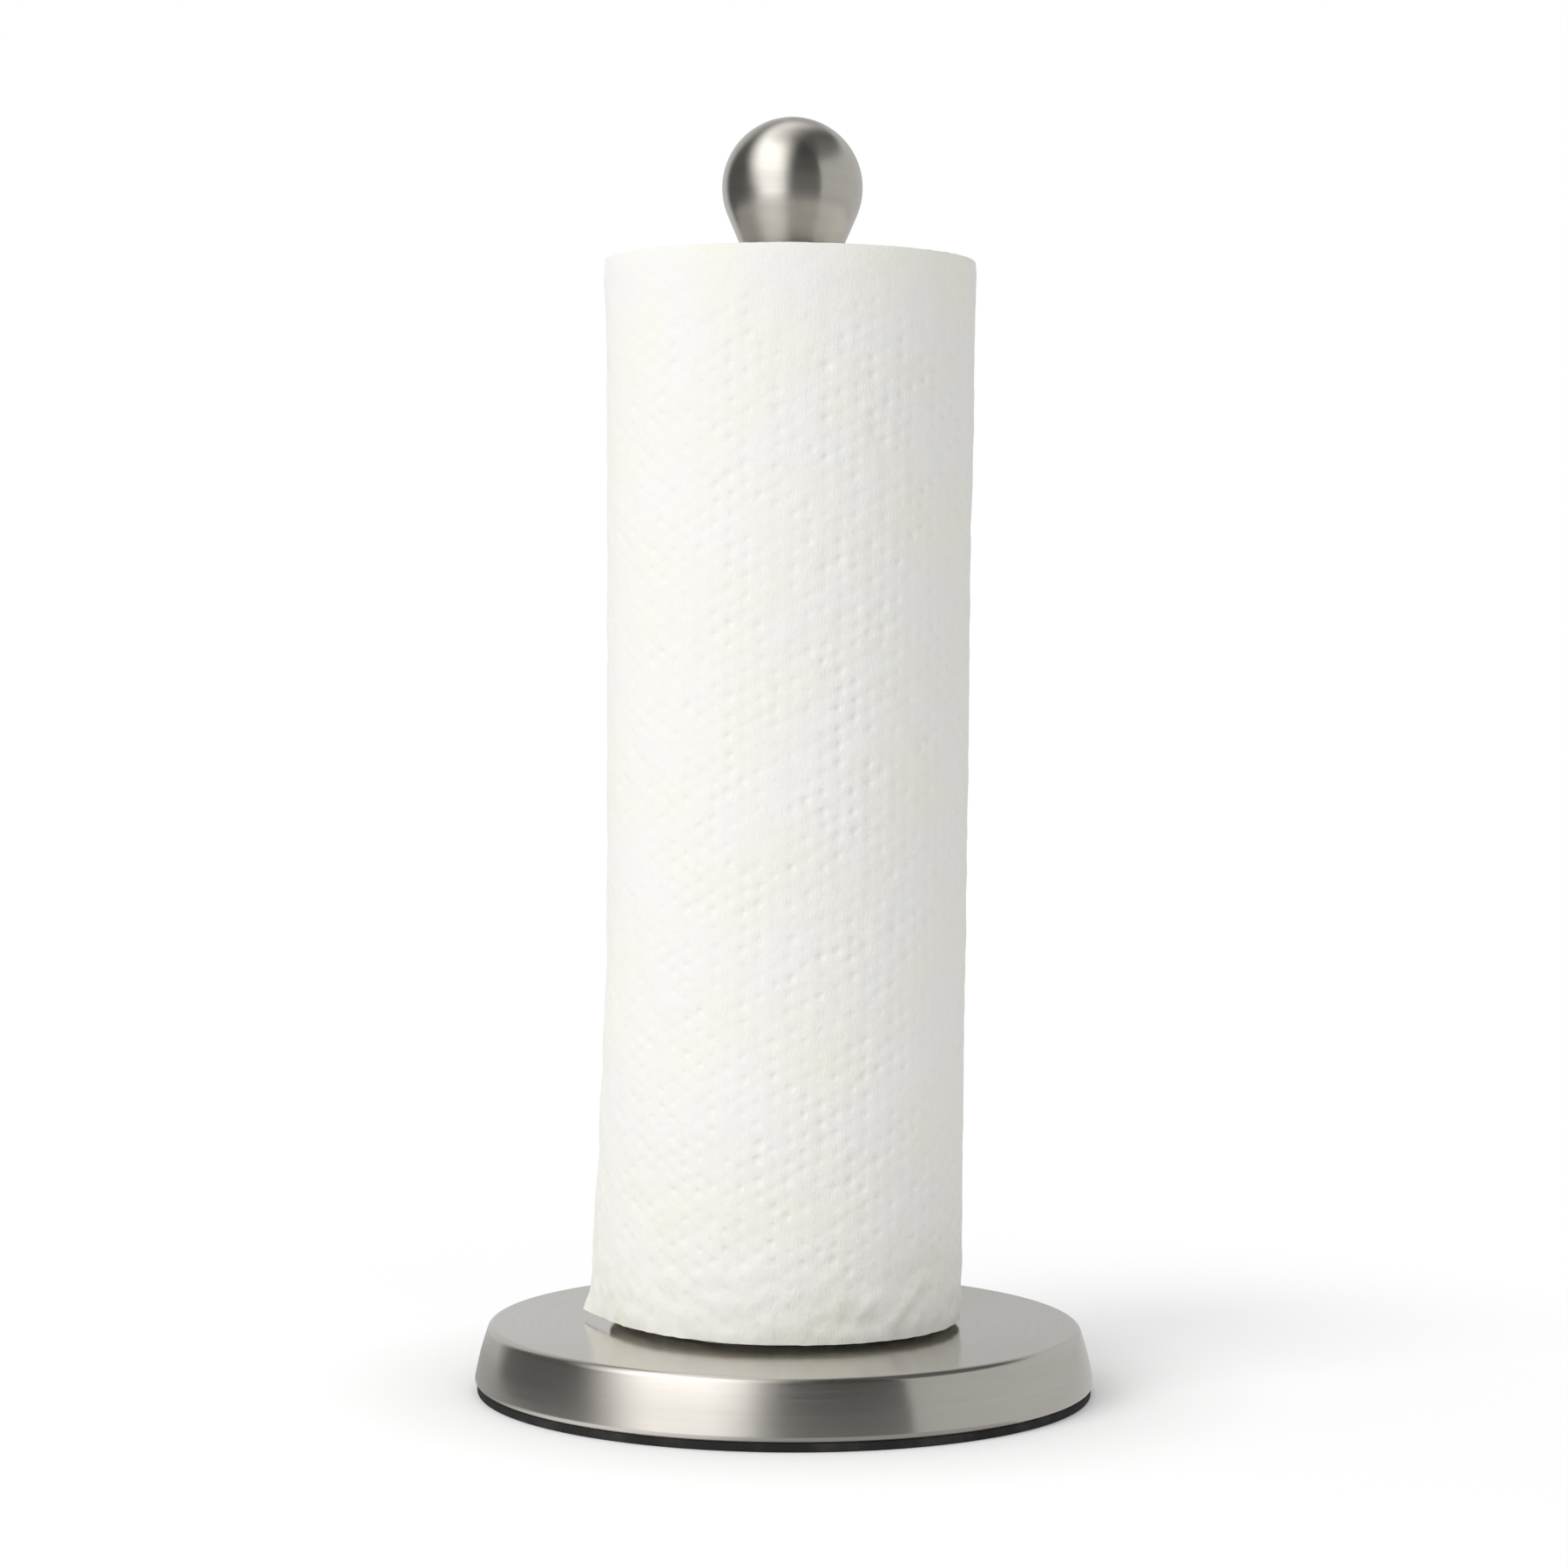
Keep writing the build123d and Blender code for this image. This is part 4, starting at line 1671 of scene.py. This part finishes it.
@dataclass
class Studio:
    """The set: camera, key light, the room that the steel mirrors, and a pale floor."""

    lens: float = 89.16
    camera_place: tuple[float, float, float] = (-0.0014, -1.0275, 0.2013)
    camera_pitch: float = math.radians(2.24)
    camera_roll: float = math.radians(0.40)
    key_place: tuple[float, float, float] = (-1.62, -1.62, 1.78)
    key_aim: tuple[float, float, float] = (0.0, 0.0, 0.16)
    key_size: Point = (1.4, 1.5)
    key_level: float = 4.9
    ambient: float = 0.655
    ambient_tilt: float = 0.30
    back: Screen = Screen(Side(-180, 1), Side(180, 1), ((25, 0.59), (65, 0.15)))
    screens: tuple[Screen, ...] = (
        Screen(Side(-179, 1), Side(-125, 10), ((25, 0.68), (65, 0.20))),
        Screen(Side(-135, 8), Side(-50, 5), ((20, 0.10), (50, 0.16))),
        Screen(Side(48, 1.5), Side(152, 8), ((30, 0.66), (44, 0.12))),
        Screen(Side(-12, 5), Side(48, 1.5), ((8, 0.17), (30, 0.045))),
        Screen(
            Side(-59, 16, 29),
            Side(-14, 17, -1),
            ((-9, 2.0), (3, 1.60), (14, 1.47), (28, 2.2), (57, 2.1), (86, 1.0)),
        ),
    )
    floor_radius: float = 1.3
    floor_steps: int = 128
    floor_colour: Colour = (0.92, 0.92, 0.92)
    floor_grain: float = 900
    speck_colour: Colour = (0.8, 0.8, 0.8)
    speck_share: float = 0.03
    floor_glow: float = 0.17
    painted_shadow_glow: float = 0.5
    painted_shadow_reach: Point = (0.085, 0.14)
    floor_fade: Point = (0.12, 0.30)
    floor_shine: Point = (0.36, 0.40)
    floor_dim: Point = (0.30, 0.90)
    dim_level: float = 0.8

    def build(self) -> None:
        """Sets up the camera, the light and the floor."""
        scene = bpy.context.scene
        scene.view_settings.view_transform = "Standard"
        self._camera(scene)
        self._key()
        self._room(scene)
        self._floor()

    def _camera(self, scene: bpy.types.Scene) -> None:
        """Places the camera where the photograph was taken.

        Args:
            scene: The scene that it belongs to.
        """
        turn = (math.pi / 2 - self.camera_pitch, -self.camera_roll, 0)
        bpy.ops.object.camera_add(location=self.camera_place, rotation=turn)
        scene.camera = bpy.context.object
        scene.camera.data.lens = self.lens
        LOG.info("camera: %.1f mm lens", self.lens)

    def _key(self) -> None:
        """Hangs the key light, a large soft screen at the front left."""
        bpy.ops.object.light_add(type="AREA", location=self.key_place)
        key = bpy.context.object
        key.name = "key_light"
        aim = Vector(self.key_aim) - Vector(self.key_place)
        key.rotation_euler = aim.to_track_quat("-Z", "Y").to_euler()
        key.data.shape = "RECTANGLE"
        key.data.size, key.data.size_y = self.key_size
        key.data.energy = self.key_level * math.pi * self.key_size[0] * self.key_size[1]
        key.visible_camera = False
        key.visible_glossy = False
        LOG.info("key light: %.1f W", key.data.energy)

    def _room(self, scene: bpy.types.Scene) -> None:
        """Paints the room: white for the camera, screens for the steel and soft light for the rest.

        Args:
            scene: The scene that it surrounds.
        """
        world = bpy.data.worlds.new("studio_room")
        world.use_nodes = True
        scene.world = world
        graph = Graph(world.node_tree)
        direction = graph.node("ShaderNodeTexCoord", output="Generated")
        up = graph.axis(direction, "Z")
        soft = self.ambient * (1 - self.ambient_tilt / 2 + self.ambient_tilt * up)
        colours = ((1, 1, 1, 1), graph.grey(self._screens(graph, direction)), graph.grey(soft))
        lights = [graph.node("ShaderNodeBackground", sockets={"Color": colour}) for colour in colours]
        graph.node("ShaderNodeOutputWorld", sockets={"Surface": graph.by_ray(*lights)})

    def _screens(self, graph: Graph, direction: Signal) -> Signal:
        """Brightness of the room.

        Args:
            graph: Where it is drawn.
            direction: The direction from the set, of length 1.

        Returns:
            The brightness in that direction.
        """
        up = graph.axis(direction, "Z")
        level = self._level(graph, up, self.back)
        for screen in self.screens:
            sides = (screen.left, screen.right)
            inside = [graph.vector("DOT_PRODUCT", direction, side.normal(), output=1) for side in sides]
            reach = [math.sin(math.radians(side.soft)) for side in sides]
            begun = graph.remap(inside[0], -reach[0], reach[0])
            window = begun * graph.remap(inside[1], -reach[1], reach[1], 1, 0)
            level = level + window * (self._level(graph, up, screen) - level)
        return level

    @staticmethod
    def _level(graph: Graph, up: Signal, screen: Screen) -> Signal:
        """Level of a screen at a height.

        Args:
            graph: Where it is drawn.
            up: The height, as the sine of the angle above the horizon.
            screen: The screen.

        Returns:
            The level.
        """
        level = screen.stops[0][1]
        for (low, start), (high, end) in zip(screen.stops, screen.stops[1:]):
            rise = graph.remap(up, math.sin(math.radians(low)), math.sin(math.radians(high)), 0, end - start)
            level = rise + level
        return level

    def _floor(self) -> None:
        """Lays a pale floor that keeps the soft shadow, with a painted contact shadow near the base, and runs
        out to white for the camera.
        """
        deselect()
        bpy.ops.mesh.primitive_circle_add(
            vertices=self.floor_steps, radius=self.floor_radius, fill_type="NGON"
        )
        floor = bpy.context.object
        floor.name = "floor"
        made = bpy.data.materials.new("pale_floor")
        made.use_nodes = True
        graph = Graph(made.node_tree)
        away = graph.length(graph.position())
        grain = graph.noise(graph.position(), scale=self.floor_grain)
        shade = graph.tint(grain * self.speck_share, self.floor_colour, self.speck_colour)
        matt = graph.node("ShaderNodeBsdfDiffuse", sockets={"Color": shade})
        # Painted contact shadow: the floor's camera glow is weaker near the base.
        glow_with_painted_shadow = self.floor_glow * graph.remap(away, *self.painted_shadow_reach, self.painted_shadow_glow, 1)
        glow = graph.node("ShaderNodeEmission", sockets={"Strength": glow_with_painted_shadow})
        lifted = graph.node("ShaderNodeAddShader", sockets={0: matt, 1: glow})
        white = graph.node("ShaderNodeEmission", sockets={"Strength": 1.0})
        shown = graph.mix(graph.remap(away, *self.floor_fade), lifted, white)
        # Painted light: for the steel's mirror rays the floor is a glow that follows the screens round it and
        # dims far out.
        bearing = graph.vector("NORMALIZE", graph.position())
        shine = self.floor_shine[0] + self.floor_shine[1] * self._screens(graph, bearing)
        shine = shine * graph.remap(away, *self.floor_dim, 1, self.dim_level)
        mirrored = graph.node("ShaderNodeEmission", sockets={"Color": graph.grey(shine)})
        mixed = graph.by_ray(shown, mirrored, matt)
        graph.node("ShaderNodeOutputMaterial", sockets={"Surface": mixed})
        floor.data.materials.append(made)
        LOG.info("floor: %.1f m radius", self.floor_radius)


def main() -> None:
    """Builds the holder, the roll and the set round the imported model."""
    logging.basicConfig(level=logging.INFO, format="%(name)s: %(message)s")
    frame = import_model()
    deselect()
    Base().build(frame["nodes"])
    Post().build(frame["nodes"])
    Finial().build()
    Roll().build()
    Studio().build()


if __name__ == "__main__":
    main()
